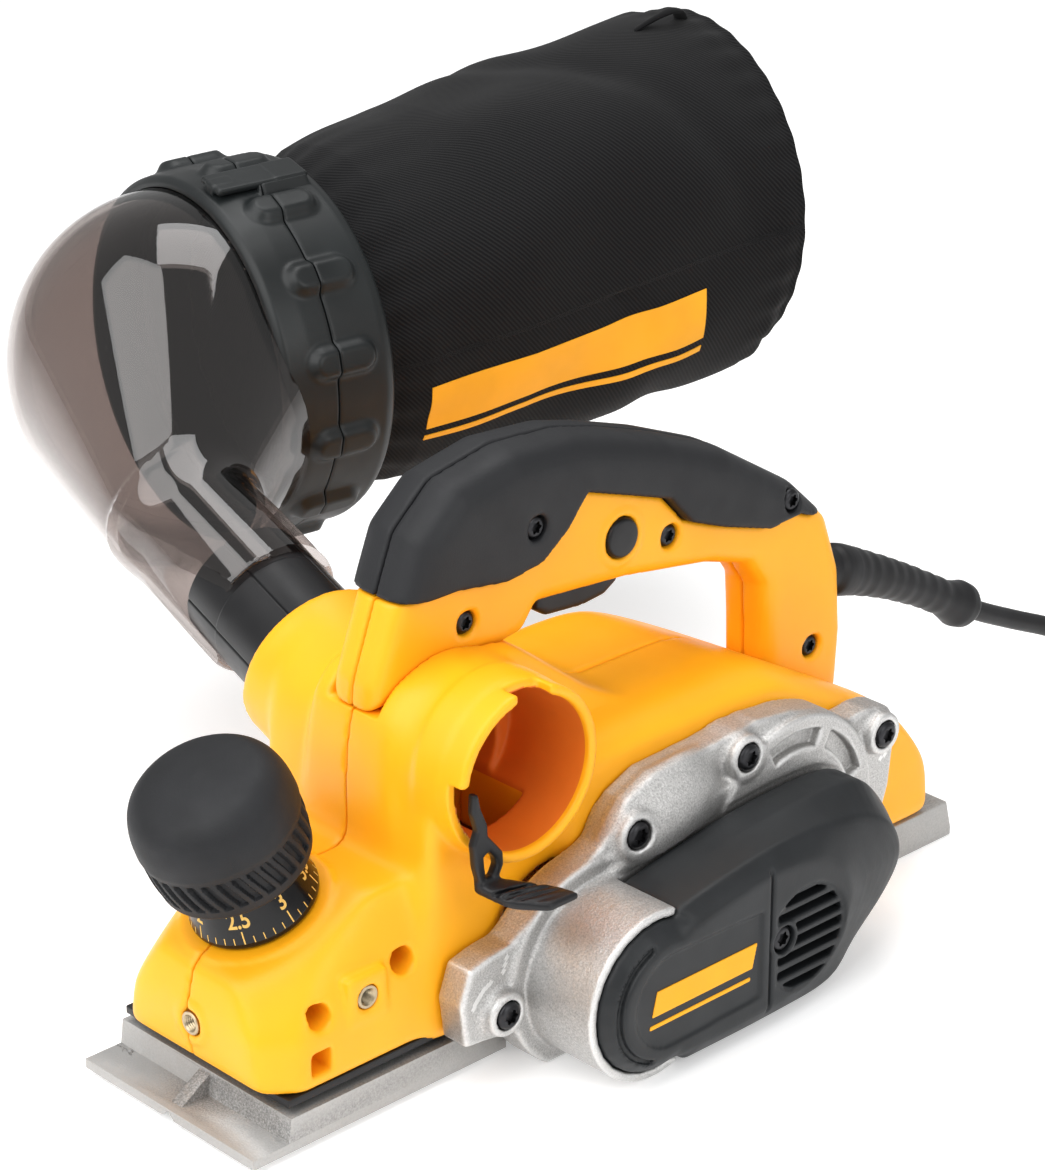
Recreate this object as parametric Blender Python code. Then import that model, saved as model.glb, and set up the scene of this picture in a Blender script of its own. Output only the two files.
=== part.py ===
"""Electric hand planer with a chip elbow and a dust bag, built in Blender 4.5.

World frame: +Z up, the front shoe and the depth knob point to -Y, the belt cover is on +X,
the cord leaves at +Y. z = 0 is the plane of the rear sole. Lengths are written in
millimetres and scaled to metres when a mesh is made.
"""
import bpy
import bmesh
import math
from mathutils import Matrix, Vector

MM = 0.001
GAP = 0.3

# soles
SOLE_HALF = 41.0
SOLE_REAR = 160.0
SOLE_FRONT = -160.0
FRONT_LIFT = 2.1
MOUTH_REAR = -19.0
MOUTH_FRONT = -56.0

# cutter drum, motor, belt
DRUM_Y = -32.0
DRUM_Z = 29.5
CUT_R = 29.0
DRUM_R = 26.6
MOTOR_Y = 59.0
MOTOR_Z = 48.0
MOTOR_R = 33.5
FACE_X = 42.8

# depth knob: axis leans 23 degrees to the front
KNOB_BASE = Vector((0.0, -122.5, 63.5))
KNOB_DIR = Vector((0.0, -math.sin(math.radians(23.0)), math.cos(math.radians(23.0))))

# chip duct: straight to +X, and raised and turned back to -X
DUCT_Y = -55.0
DUCT_Z = 102.0
DUCT_R = 25.5
DUCT_WALL = 3.4
PIPE_MOUTH = Vector((-59.2, -46.4, 101.0))
PIPE_DIR = Vector((-0.9540, 0.1171, 0.2760)).normalized()

# elbow and bag: the bag runs back and turns 7 degrees to +X
BAG_DIR = Vector((0.1219, 0.9925, 0.0)).normalized()
COLLAR_MID = Vector((-205.5, 51.0, 146.0))
COLLAR_R = 71.0
DOME_R = 63.0
BAG_LENGTH = 196.0
BAG_RISE = 20.0
LATCH_LEAN = math.radians(12.0)
LATCH_UP = Vector((math.sin(LATCH_LEAN), 0.0, math.cos(LATCH_LEAN)))

# joint axes: a point on each
DRUM_AXIS = Vector((0.0, DRUM_Y, DRUM_Z))
MOTOR_AXIS = Vector((0.0, MOTOR_Y, MOTOR_Z))
TRIGGER_PIVOT = Vector((0.0, -7.0, 134.0))
LOCK_AXIS = Vector((4.2, 23.4, 145.0))
LEVER_PIVOT = Vector((50.3, -77.5, 82.0))
LATCH_PIVOT = COLLAR_MID + LATCH_UP * (COLLAR_R + 2 * GAP) - BAG_DIR * 26.8

# power cord
CORD_R = 3.7
COIL_MID = Vector((63.5, 389.5, 8.2))
COIL_R = 43.4
COIL_HALF_WIDTH = 15.4
COIL_HALF_HEIGHT = 7.9


def clear_scene():
    for thing in list(bpy.data.objects):
        bpy.data.objects.remove(thing, do_unlink=True)
    for mesh in list(bpy.data.meshes):
        bpy.data.meshes.remove(mesh)


def material(name, colour, metallic, roughness, alpha=1.0):
    mat = bpy.data.materials.new(name)
    mat.use_nodes = True
    shader = mat.node_tree.nodes["Principled BSDF"]
    shader.inputs["Base Color"].default_value = (*colour, 1.0)
    shader.inputs["Metallic"].default_value = metallic
    shader.inputs["Roughness"].default_value = roughness
    shader.inputs["Alpha"].default_value = alpha
    return mat


def finish_mesh(name, bm):
    bmesh.ops.remove_doubles(bm, verts=bm.verts, dist=1e-4)
    bmesh.ops.triangulate(bm, faces=bm.faces)
    bmesh.ops.recalc_face_normals(bm, faces=bm.faces)
    bmesh.ops.scale(bm, vec=(MM, MM, MM), verts=bm.verts)
    mesh = bpy.data.meshes.new(name)
    bm.to_mesh(mesh)
    bm.free()
    thing = bpy.data.objects.new(name, mesh)
    bpy.context.scene.collection.objects.link(thing)
    return thing


def loft(name, loops, closed=False):
    """Skin equal rings of points. An open skin gets a flat face at both ends."""
    bm = bmesh.new()
    rings = [[bm.verts.new(p) for p in loop] for loop in loops]
    count = len(rings[0])
    pairs = list(zip(rings, rings[1:]))
    if closed:
        pairs.append((rings[-1], rings[0]))
    for low, high in pairs:
        for i in range(count):
            j = (i + 1) % count
            bm.faces.new((low[i], low[j], high[j], high[i]))
    if not closed:
        bm.faces.new(list(reversed(rings[0])))
        bm.faces.new(rings[-1])
    return finish_mesh(name, bm)


def hull(name, points):
    bm = bmesh.new()
    verts = [bm.verts.new(p) for p in points]
    result = bmesh.ops.convex_hull(bm, input=verts)
    unused = [v for v in result["geom_interior"] if isinstance(v, bmesh.types.BMVert)]
    bmesh.ops.delete(bm, geom=unused, context="VERTS")
    return finish_mesh(name, bm)


def prism(name, outline, x0, x1):
    """Extrude a (y, z) outline along X."""
    return loft(name, [[(x, y, z) for y, z in outline] for x in (x0, x1)])


def block(name, low, high):
    (x0, y0, z0), (x1, y1, z1) = low, high
    return prism(name, [(y0, z0), (y1, z0), (y1, z1), (y0, z1)], x0, x1)


def side_vectors(direction):
    direction = Vector(direction).normalized()
    hint = Vector((0, 0, 1)) if abs(direction.z) < 0.9 else Vector((0, 1, 0))
    u = direction.cross(hint).normalized()
    v = direction.cross(u).normalized()
    return u, v, direction


def ring(base, direction, radius, height, count):
    u, v, w = side_vectors(direction)
    centre = Vector(base) + w * height
    loop = []
    for i in range(count):
        a = 2 * math.pi * i / count
        loop.append(centre + u * (radius * math.cos(a)) + v * (radius * math.sin(a)))
    return loop


def turned(name, base, direction, profile, count=32, closed=False):
    """Turn a (radius, height) profile. A radius of 0 at either end closes on the axis."""
    bm = bmesh.new()
    u, v, w = side_vectors(direction)
    rings = []
    for radius, height in profile:
        if radius <= 0:
            rings.append([bm.verts.new(Vector(base) + w * height)])
        else:
            loop = ring(base, direction, radius, height, count)
            rings.append([bm.verts.new(p) for p in loop])
    pairs = list(zip(rings, rings[1:]))
    if closed:
        pairs.append((rings[-1], rings[0]))
    for low, high in pairs:
        for i in range(count):
            j = (i + 1) % count
            if len(low) == 1:
                bm.faces.new((low[0], high[j], high[i]))
            elif len(high) == 1:
                bm.faces.new((low[i], low[j], high[0]))
            else:
                bm.faces.new((low[i], low[j], high[j], high[i]))
    return finish_mesh(name, bm)


def rod(name, start, end, radius, count=24):
    length = (Vector(end) - Vector(start)).length
    direction = Vector(end) - Vector(start)
    return turned(name, start, direction, [(0, 0), (radius, 0), (radius, length), (0, length)],
                  count)


def tube(name, start, end, inner, outer, count=32):
    length = (Vector(end) - Vector(start)).length
    direction = Vector(end) - Vector(start)
    profile = [(inner, 0), (outer, 0), (outer, length), (inner, length)]
    return turned(name, start, direction, profile, count, closed=True)


def x_rod(name, y, z, radius, x0, x1, count=32):
    return rod(name, (x0, y, z), (x1, y, z), radius, count)


def x_tube(name, y, z, inner, outer, x0, x1, count=32):
    return tube(name, (x0, y, z), (x1, y, z), inner, outer, count)


def shape_with(target, tools, operation):
    """Apply one boolean after another and keep the mesh clean in between."""
    for tool in tools:
        change = target.modifiers.new("shape", "BOOLEAN")
        change.object = tool
        change.operation = operation
        change.solver = "EXACT"
        graph = bpy.context.evaluated_depsgraph_get()
        mesh = bpy.data.meshes.new_from_object(target.evaluated_get(graph))
        target.modifiers.clear()
        target.data = mesh
        bm = bmesh.new()
        bm.from_mesh(mesh)
        bmesh.ops.remove_doubles(bm, verts=bm.verts, dist=2e-6)
        bmesh.ops.dissolve_limit(bm, angle_limit=0.002, verts=bm.verts, edges=bm.edges)
        bmesh.ops.triangulate(bm, faces=bm.faces)
        bm.to_mesh(mesh)
        bm.free()
        bpy.data.objects.remove(tool, do_unlink=True)
    return target


def cut(target, *tools):
    return shape_with(target, tools, "DIFFERENCE")


def merge(target, *tools):
    return shape_with(target, tools, "UNION")


def copy_of(source, name):
    twin = source.copy()
    twin.data = source.data.copy()
    twin.name = name
    bpy.context.scene.collection.objects.link(twin)
    return twin


def half_of(source, name, side):
    """The part of a solid on one side of the mid-plane, kept half a gap away from it."""
    far = 400.0
    low, high = ((-far, -far, -far), (GAP / 2, far, far))
    if side < 0:
        low, high = ((-GAP / 2, -far, -far), (far, far, far))
    return cut(copy_of(source, name), block("other_side", low, high))


def grown(outline, distance):
    """Move each corner of a counter-clockwise outline outwards by a distance."""
    result = []
    count = len(outline)
    for i in range(count):
        before = Vector(outline[i - 1])
        here = Vector(outline[i])
        after = Vector(outline[(i + 1) % count])
        a = (here - before).normalized()
        b = (after - here).normalized()
        na = Vector((a.y, -a.x))
        nb = Vector((b.y, -b.x))
        mid = (na + nb).normalized()
        reach = distance / max(0.4, mid.dot(na))
        result.append(tuple(here + mid * reach))
    return result


def arc(cy, cz, radius, start, end, steps):
    """Points of an arc in the (y, z) plane, angles in degrees."""
    points = []
    for i in range(steps + 1):
        a = math.radians(start + (end - start) * i / steps)
        points.append((cy + radius * math.cos(a), cz + radius * math.sin(a)))
    return points


# ---------------------------------------------------------------- soles

def rear_shoe():
    side = block("rear_shoe", (-SOLE_HALF, MOUTH_REAR, 0.0), (SOLE_HALF, SOLE_REAR, 13.8))
    hollow = block("hollow", (-34.5, 8.0, 6.5), (34.5, 152.0, 20.0))
    slope = prism("slope", [(SOLE_REAR - 3.0, 14.5), (SOLE_REAR + 1.0, -1.0),
                            (SOLE_REAR + 9.0, -1.0), (SOLE_REAR + 9.0, 14.5)], -50, 50)
    mouth = x_rod("mouth", DRUM_Y, DRUM_Z, CUT_R + 1.3, -50, 50, 40)
    return cut(side, hollow, slope, mouth)


def front_shoe():
    low = FRONT_LIFT
    plate = block("front_shoe", (-SOLE_HALF, SOLE_FRONT, low), (SOLE_HALF, MOUTH_FRONT, 5.4))
    upper = prism("upper", [(-146.0, 5.0), (-57.0, 5.0), (-57.0, 13.6), (-144.8, 13.6)],
                  -SOLE_HALF + 0.01, SOLE_HALF - 0.01)
    rib = prism("rib", [(-157.0, 5.0), (-144.0, 5.0), (-144.0, 13.2)], -2.5, 2.5)
    foot = KNOB_BASE + KNOB_DIR * -56.0
    head = KNOB_BASE + KNOB_DIR * -27.0
    post = rod("post", foot, head, 9.0, 32)
    shoe = merge(plate, upper, rib, post)
    vee = loft("vee", [[(-3.5, y, low - 0.5), (3.5, y, low - 0.5), (0.0, y, low + 2.6)]
                       for y in (SOLE_FRONT - 2, MOUTH_FRONT + 10)])
    below = block("below", (-50, -170, -30), (50, -40, low))
    mouth = x_rod("mouth", DRUM_Y, DRUM_Z, CUT_R + 3.6, -50, 50, 40)
    well_left = block("well_left", (14.0, -138.0, 6.0), (36.0, -74.0, 20.0))
    well_right = block("well_right", (-36.0, -138.0, 6.0), (-14.0, -74.0, 20.0))
    bore = rod("bore", KNOB_BASE + KNOB_DIR * -51.0, head + KNOB_DIR * 2, 4.6, 24)
    seat = rod("seat", KNOB_BASE + KNOB_DIR * -38.0, head + KNOB_DIR * 2, 6.5, 24)
    return cut(shoe, below, vee, mouth, well_left, well_right, bore, seat)


def depth_nut():
    start = KNOB_BASE + KNOB_DIR * -37.6
    return tube("depth_nut", start, start + KNOB_DIR * 10.0, 4.15, 6.2, 16)


def front_guide():
    """Black guide frame between the front shoe and the housing."""
    plate = block("front_guide", (-39.5, -144.5, 16.2), (39.5, -62.0, 19.0))
    window = rod("window", KNOB_BASE + KNOB_DIR * -70.0, KNOB_BASE, 11.0, 32)
    return cut(plate, window)


# ---------------------------------------------------------------- depth knob

def depth_screw():
    low = -46.0
    profile = [(0, low), (3.2, low), (4.0, low + 1.2), (4.0, 20.0), (0, 20.0)]
    return turned("depth_screw", KNOB_BASE, KNOB_DIR, profile, 24)


def depth_dial():
    profile = [(4.3, 0.6), (20.4, 0.6), (21.0, 1.6), (21.0, 3.0), (16.6, 17.0), (4.3, 17.0)]
    return turned("depth_dial", KNOB_BASE, KNOB_DIR, profile, 40, closed=True)


def knob_cap():
    profile = [(0, 20.6), (14.0, 20.6), (14.0, 17.4), (21.5, 16.6), (24.6, 19.5), (26.0, 27.0),
               (26.4, 34.0), (25.9, 42.5), (24.2, 48.3), (20.0, 52.3), (12.0, 54.7),
               (0, 55.6)]
    return turned("knob_cap", KNOB_BASE, KNOB_DIR, profile, 40)


# ---------------------------------------------------------------- cutter drum

def drum_solid():
    profile = [(0, -47.6), (6.0, -47.6), (6.0, -41.6), (9.0, -41.6), (9.0, -41.0),
               (DRUM_R, -41.0), (DRUM_R, 41.0), (9.0, 41.0), (9.0, 41.6), (6.0, 41.6),
               (6.0, 79.0), (0, 79.0)]
    drum = turned("cutter_drum", (0, DRUM_Y, DRUM_Z), (1, 0, 0), profile, 36)
    slots = [prism("slot", drum_box(sign, 9.0, -8.2, 40.0, 3.0), -42.0, 42.0)
             for sign in (1, -1)]
    return cut(drum, *slots)


def drum_box(sign, low, left, high, right):
    """A box outline in the drum's own cross-section, turned to its resting angle."""
    outline = []
    for a, r in ((left, low), (right, low), (right, high), (left, high)):
        outline.append(drum_point(sign, a, r))
    return outline


def drum_point(sign, across, out):
    lean = math.radians(35.0)
    y = sign * (out * math.sin(lean) + across * math.cos(lean))
    z = sign * (out * math.cos(lean) - across * math.sin(lean))
    return (DRUM_Y + y, DRUM_Z + z)


def cutter_blade(name, sign):
    outline = [drum_point(sign, 0.6, 13.0), drum_point(sign, 2.4, 13.0),
               drum_point(sign, 2.4, CUT_R - 1.2), drum_point(sign, 0.6, CUT_R - 0.1)]
    return prism(name, outline, -40.9, 40.9)


def blade_clamp(name, sign):
    outline = [drum_point(sign, -7.8, 9.4), drum_point(sign, 0.2, 9.4),
               drum_point(sign, 0.2, 25.0), drum_point(sign, -4.6, 25.6),
               drum_point(sign, -7.8, 24.2)]
    return prism(name, outline, -40.5, 40.5)


def pulley(name, y, z, shaft, radius, x0, x1):
    """A belt pulley with a flange on both sides of its track."""
    width = x1 - x0
    profile = [(shaft, 0), (radius + 1.6, 0), (radius + 1.6, 1.0), (radius, 1.2)]
    profile += [(radius, width - 1.2), (radius + 1.6, width - 1.0), (radius + 1.6, width),
                (shaft, width)]
    return turned(name, (x0, y, z), (1, 0, 0), profile, 24, closed=True)


DRUM_PULLEY_R = 15.0
MOTOR_PULLEY_R = 10.0
BELT_X0 = 62.4
BELT_X1 = 71.6


def drive_belt():
    inner = belt_loop(GAP)
    outer = belt_loop(GAP + 1.3)
    loops = []
    for x, path in ((BELT_X0, inner), (BELT_X0, outer), (BELT_X1, outer), (BELT_X1, inner)):
        loops.append([(x, y, z) for y, z in path])
    return loft("drive_belt", loops, closed=True)


def belt_loop(offset):
    """The closed belt line: two arcs joined by the outer tangents of the pulleys."""
    ra = DRUM_PULLEY_R + offset
    rb = MOTOR_PULLEY_R + offset
    dy = MOTOR_Y - DRUM_Y
    dz = MOTOR_Z - DRUM_Z
    distance = math.hypot(dy, dz)
    heading = math.degrees(math.atan2(dz, dy))
    open_angle = math.degrees(math.acos((ra - rb) / distance))
    path = arc(DRUM_Y, DRUM_Z, ra, heading + open_angle, heading + 360 - open_angle, 16)
    path += arc(MOTOR_Y, MOTOR_Z, rb, heading - open_angle, heading + open_angle, 14)
    return path


# ---------------------------------------------------------------- motor

def motor_turned(name, profile, count=40, closed=False):
    return turned(name, (0, MOTOR_Y, MOTOR_Z), (1, 0, 0), profile, count, closed)


def motor_shaft():
    profile = [(0, -44.0), (4.5, -44.0), (4.5, 79.0), (0, 79.0)]
    return motor_turned("motor_shaft", profile, 24)


def armature():
    """Laminated core with the winding heads at both ends."""
    profile = [(4.7, -25.0), (13.0, -25.0), (17.5, -20.5), (17.0, -16.0), (19.5, -16.0),
               (19.5, 18.0), (16.5, 18.0), (18.0, 21.0), (15.0, 25.0), (4.7, 25.0)]
    return motor_turned("armature", profile, 28, True)


def commutator():
    return motor_turned("commutator", [(4.7, -36.0), (11.0, -36.0), (11.0, -25.4),
                                       (4.7, -25.4)], 32, True)


def motor_fan():
    hub = motor_turned("motor_fan", [(4.7, 26.0), (8.0, 26.0), (8.0, 36.5), (30.5, 36.5),
                                     (30.5, 38.2), (4.7, 38.2)], 36, True)
    blades = []
    for i in range(8):
        a = 2 * math.pi * i / 8
        c, s = math.cos(a), math.sin(a)
        corners = []
        for x in (28.5, 37.0):
            for r in (14.0, 30.0):
                for side in (-0.8, 0.8):
                    corners.append((x, MOTOR_Y + r * c - side * s, MOTOR_Z + r * s + side * c))
        blades.append(hull("fan_blade", corners))
    return merge(hub, *blades)


def stator():
    """Field core with its coil heads at both ends."""
    outer = MOTOR_R - 0.4
    profile = [(20.8, -26.5), (29.0, -26.5), (30.0, -16.0), (outer, -16.0), (outer, 17.0),
               (30.0, 17.0), (29.0, 27.5), (20.8, 27.5), (20.3, 17.0), (20.3, -16.0)]
    return motor_turned("stator", profile, 30, True)


def brush(name, sign):
    """A carbon brush in its holder, pressed on the commutator from the side."""
    near, far = sorted((MOTOR_Y + sign * 11.4, MOTOR_Y + sign * 30.0))
    return block(name, (-34.5, near, MOTOR_Z - 4.0), (-27.5, far, MOTOR_Z + 4.0))


def bearing(name, y, z, inner, outer, x0, x1):
    return x_tube(name, y, z, inner, outer, x0, x1, 24)


# ---------------------------------------------------------------- housing

HANDLE_OUTLINE = [
    (-83.0, 116.0), (-70.0, 117.0), (-55.0, 120.0), (-40.0, 122.0), (-28.0, 122.5),
    (-18.0, 124.0), (-12.0, 132.0),
    (27.0, 128.5), (66.0, 122.0), (85.0, 116.0), (92.0, 106.0), (93.0, 92.0), (94.0, 64.0),
    (113.0, 56.0), (132.5, 54.0), (134.0, 78.0), (132.0, 102.0), (124.5, 123.0),
    (105.5, 141.0), (72.0, 162.0), (44.0, 173.5), (20.0, 181.5), (2.6, 186.0),
    (-24.0, 188.0), (-50.0, 183.0), (-65.0, 170.0), (-70.5, 156.0), (-76.5, 140.0),
    (-82.0, 125.0)]

GRIP_EDGE = [(-70.0, 150.0), (-50.5, 150.0), (-30.0, 146.8), (-15.0, 149.0), (-4.0, 157.0),
             (4.5, 167.0), (22.0, 161.0), (42.0, 154.0), (52.0, 143.0), (68.0, 136.5),
             (90.0, 129.5), (105.0, 130.5), (113.0, 127.0), (122.0, 126.0)]


def housing_solid():
    front = hull("housing", [
        (x, y, z) for x, y, z in (
            (-41, -139, 19.3), (41, -141, 19.3), (-30, -150, 19.3), (33, -150, 19.3),
            (-41, -60, 19.3), (41, -60, 19.3), (-39, -132, 38), (41, -138, 38),
            (-26, -151.5, 38), (31, -151.5, 38), (-34, -126, 47), (38, -134, 47),
            (-41, -60, 44), (41, -60, 44), (-17, -148, 52.0), (21, -148, 52.0),
            (-26, -134, 55.0), (29, -136, 55.0), (-30, -104, 70.6), (30, -104, 70.6),
            (-34, -60, 72), (34, -60, 72))])
    lower = [(x, y, 14.1) for x in (-49.0, 42.4) for y in (-88.0, -8.0)]
    barrel = ring((41.0, DUCT_Y, DUCT_Z), (1, 0, 0), DUCT_R + DUCT_WALL + 1, 0, 32)
    back = ring((-46.0, -51.5, 94.5), (1, 0, 0), DUCT_R + DUCT_WALL, 0, 32)
    middle = hull("middle", lower + barrel + back + [(-49, -88, 48), (42.4, -88, 48)])
    port = x_rod("port", DUCT_Y, DUCT_Z, DUCT_R + DUCT_WALL, 30.0, 51.5, 40)
    outlet = rod("outlet", PIPE_MOUTH - PIPE_DIR * 34.0, PIPE_MOUTH, DUCT_R + DUCT_WALL, 40)
    body = []
    for x, drop, pull in ((34.0, 0.0, 0.0), (42.4, 5.0, 1.0)):
        body += [(x, -30, 14.1), (x, 149 - pull, 14.1), (x, 147.5 - pull, 36),
                 (x, 139 - pull, 47 - drop / 2), (x, 131.5 - pull, 60 - drop),
                 (x, 67, 96.0 - drop), (x, -25, 97.5 - drop), (x, -30, 97.5 - drop)]
    for x, drop, pull in ((-48.0, 12.0, 8.0), (-38.0, 0.0, 2.0)):
        body += [(x, -30, 14.1), (x, 149 - pull, 14.1), (x, 147 - pull, 34 - drop),
                 (x, 131 - pull, 55 - drop), (x, 82, 83.5 - drop), (x, 50, 98 - drop),
                 (x, -30, 98 - drop)]
    rear = hull("rear", body)
    neck = hull("neck", [(x, y, z) for x in (-21.0, 21.0)
                         for y, z in ((-86, 94), (-83, 117), (-74, 127), (-30, 128),
                                      (-20, 96), (10, 96), (-80, 60), (0, 60))])
    return merge(front, middle, port, outlet, rear, neck)


def housing_cuts():
    """Hollows and openings of the housing, made as cutting solids."""
    tools = [x_rod("drum_room", DRUM_Y, DRUM_Z, CUT_R + 2.2, -43.2, 60.0, 40)]
    tools.append(block("throat", (-30.0, -60.0, 40.0), (30.0, -38.0, 100.0)))
    tools.append(x_rod("port_bore", DUCT_Y, DUCT_Z, DUCT_R, 15.0, 60.0, 40))
    tools.append(x_rod("duct", DUCT_Y, 96.0, 20.0, -24.0, 16.0, 36))
    tools.append(rod("outlet_bore", PIPE_MOUTH - PIPE_DIR * 46.0, PIPE_MOUTH + PIPE_DIR * 5.0,
                     DUCT_R, 40))
    tools.append(block("key_notch", (44.0, -60.0, 120.0), (60.0, -46.0, 129.2)))
    tools.append(x_rod("motor_room", MOTOR_Y, MOTOR_Z, MOTOR_R, -38.0, 60.0, 40))
    tools.append(x_rod("motor_end", MOTOR_Y, MOTOR_Z, 12.3, -46.0, -30.0, 40))
    tools.append(x_rod("drum_end", DRUM_Y, DRUM_Z, 13.3, -48.0, -40.0, 40))
    tools.append(x_rod("brush_room", MOTOR_Y, MOTOR_Z, 14.0, -38.0, -20.0, 32))
    foot = KNOB_BASE + KNOB_DIR * -70.0
    tools.append(rod("post_room", foot, KNOB_BASE + KNOB_DIR * -23.5, 9.6, 32))
    tools.append(rod("spring_room", foot, KNOB_BASE + KNOB_DIR * -12.0, 7.6, 32))
    tools.append(rod("screw_bore", foot, KNOB_BASE + KNOB_DIR * 20.0, 4.4, 24))
    tools.append(rod("dial_flat", KNOB_BASE, KNOB_BASE + KNOB_DIR * 40.0, 27.0, 40))
    tools.append(block("guide_room", (-39.8, -144.8, 10.0), (39.8, -61.7, 19.29)))
    tools.append(block("shoe_room", (-41.5, -95.0, 10.0), (41.5, -55.0, 16.1)))
    tools.append(block("square_hole", (30.0, -136.0, 24.0), (50.0, -128.0, 32.0)))
    tools.append(x_rod("corner_screw_hole", -131.5, 42.0, 4.0, 30.0, 50.0, 14))
    tools.append(x_rod("front_screw_hole", -97.0, 48.5, 4.5, 26.0, 50.0, 14))
    tools.append(x_rod("insert_hole", -113.0, 43.0, 4.2, 28.0, 50.0, 14))
    tools.append(rod("front_insert_hole", (2.0, -160.0, 33.0), (2.0, -138.0, 33.0), 4.2, 14))
    tools.append(prism("lever_slot", [(-86, 70), (-70, 70), (-70, 92), (-75, 106), (-86, 106)], 45.0, 60.0))
    tools.append(prism("handle_room", grown(HANDLE_OUTLINE, GAP), -HANDLE_HALF - GAP,
                       HANDLE_HALF + GAP))
    for y, z in CASTING_SCREWS:
        tools.append(x_rod("screw_hole", y, z, 2.8, 32.0, 60.0, 10))
    tools.append(prism("casting_room", grown(CASTING_OUTLINE, 0.4), FACE_X - 0.3, 70.0))
    tools.append(x_rod("drum_case_room", DRUM_Y, DRUM_Z, 35.4, FACE_X - 0.25, 72.0, 40))
    tools.append(block("room_front_right", (-37.5, -147.0, 10.0), (-13.5, -93.0, 41.0)))
    tools.append(block("room_front_left", (13.5, -147.0, 10.0), (24.0, -93.0, 41.0)))
    tools.append(block("room_rear", (-45.0, 98.0, 10.0), (38.5, 141.0, 33.0)))
    tools.append(block("room_rear_high", (-45.0, 96.0, 30.0), (38.5, 128.0, 52.0)))
    tools.append(block("room_above", (18.5, 5.0, 80.0), (37.0, 60.0, 86.5)))
    return tools


CASTING_SCREWS = [(-71.0, 27.0), (-15.0, 69.5), (35.0, 79.5), (102.0, 65.0)]


def housing_halves():
    solid = housing_solid()
    cut(solid, *housing_cuts())
    left = half_of(solid, "housing_left", 1)
    right = half_of(solid, "housing_right", -1)
    bpy.data.objects.remove(solid, do_unlink=True)
    return left, right


def threaded_insert(name, start, end):
    return tube(name, start, end, 2.0, 3.9, 20)


# ---------------------------------------------------------------- belt side

CASTING_OUTLINE = [
    (-85.0, 19.0), (-40.0, 14.6), (-6.0, 14.6), (92.0, 14.6), (104.0, 24.0), (110.0, 42.0),
    (112.0, 60.0), (108.0, 72.0), (98.0, 74.0), (88.0, 73.0), (76.0, 81.0), (60.0, 86.0),
    (44.0, 88.0), (20.0, 86.0), (-4.0, 85.0), (-16.0, 80.0), (-26.0, 68.0), (-40.0, 61.0),
    (-54.0, 55.0), (-66.0, 48.0), (-75.0, 47.0), (-83.0, 45.0), (-87.0, 34.0)]


COVER_END = 25.8
COVER_SCREW = (20.3, 31.0)
COVER_BASE = [(-20.0, 1.2), (30.0, 1.0), (58.0, 2.0), (75.0, 11.5), (87.5, 23.0), (92.0, 36.0),
              (86.0, 50.0), (74.0, 63.0), (56.0, 66.0), (30.0, 65.0), (5.0, 62.0),
              (-21.5, 57.2), (-23.3, 54.7)]
COVER_SHOULDER = [(-20.0, 1.6), (20.0, 1.6), (48.0, 3.4), (60.0, 14.5), (74.0, 26.5),
                  (81.0, 37.0), (78.0, 48.0), (66.0, 57.0), (50.0, 61.0), (28.0, 63.0),
                  (5.0, 61.5), (-21.5, 57.0), (-23.3, 54.7)]
COVER_FACE = [(-20.0, 7.4), (10.0, 7.4), (33.0, 10.5), (46.0, 20.0), (52.0, 31.0),
              (52.5, 39.0), (49.5, 46.5), (42.0, 52.0), (35.0, 55.5), (20.0, 57.5),
              (5.0, 57.0), (-21.0, 52.5), (-23.0, 51.5)]


def cover_outline(rear, end_radius):
    """Rear points of the cover closed by the round end that sits in the drum case."""
    low = (rear[-1][0], 2 * DRUM_Z - rear[-1][1])
    return rear + arc(DRUM_Y, DRUM_Z, end_radius, 75, 285, 14) + [low]


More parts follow.
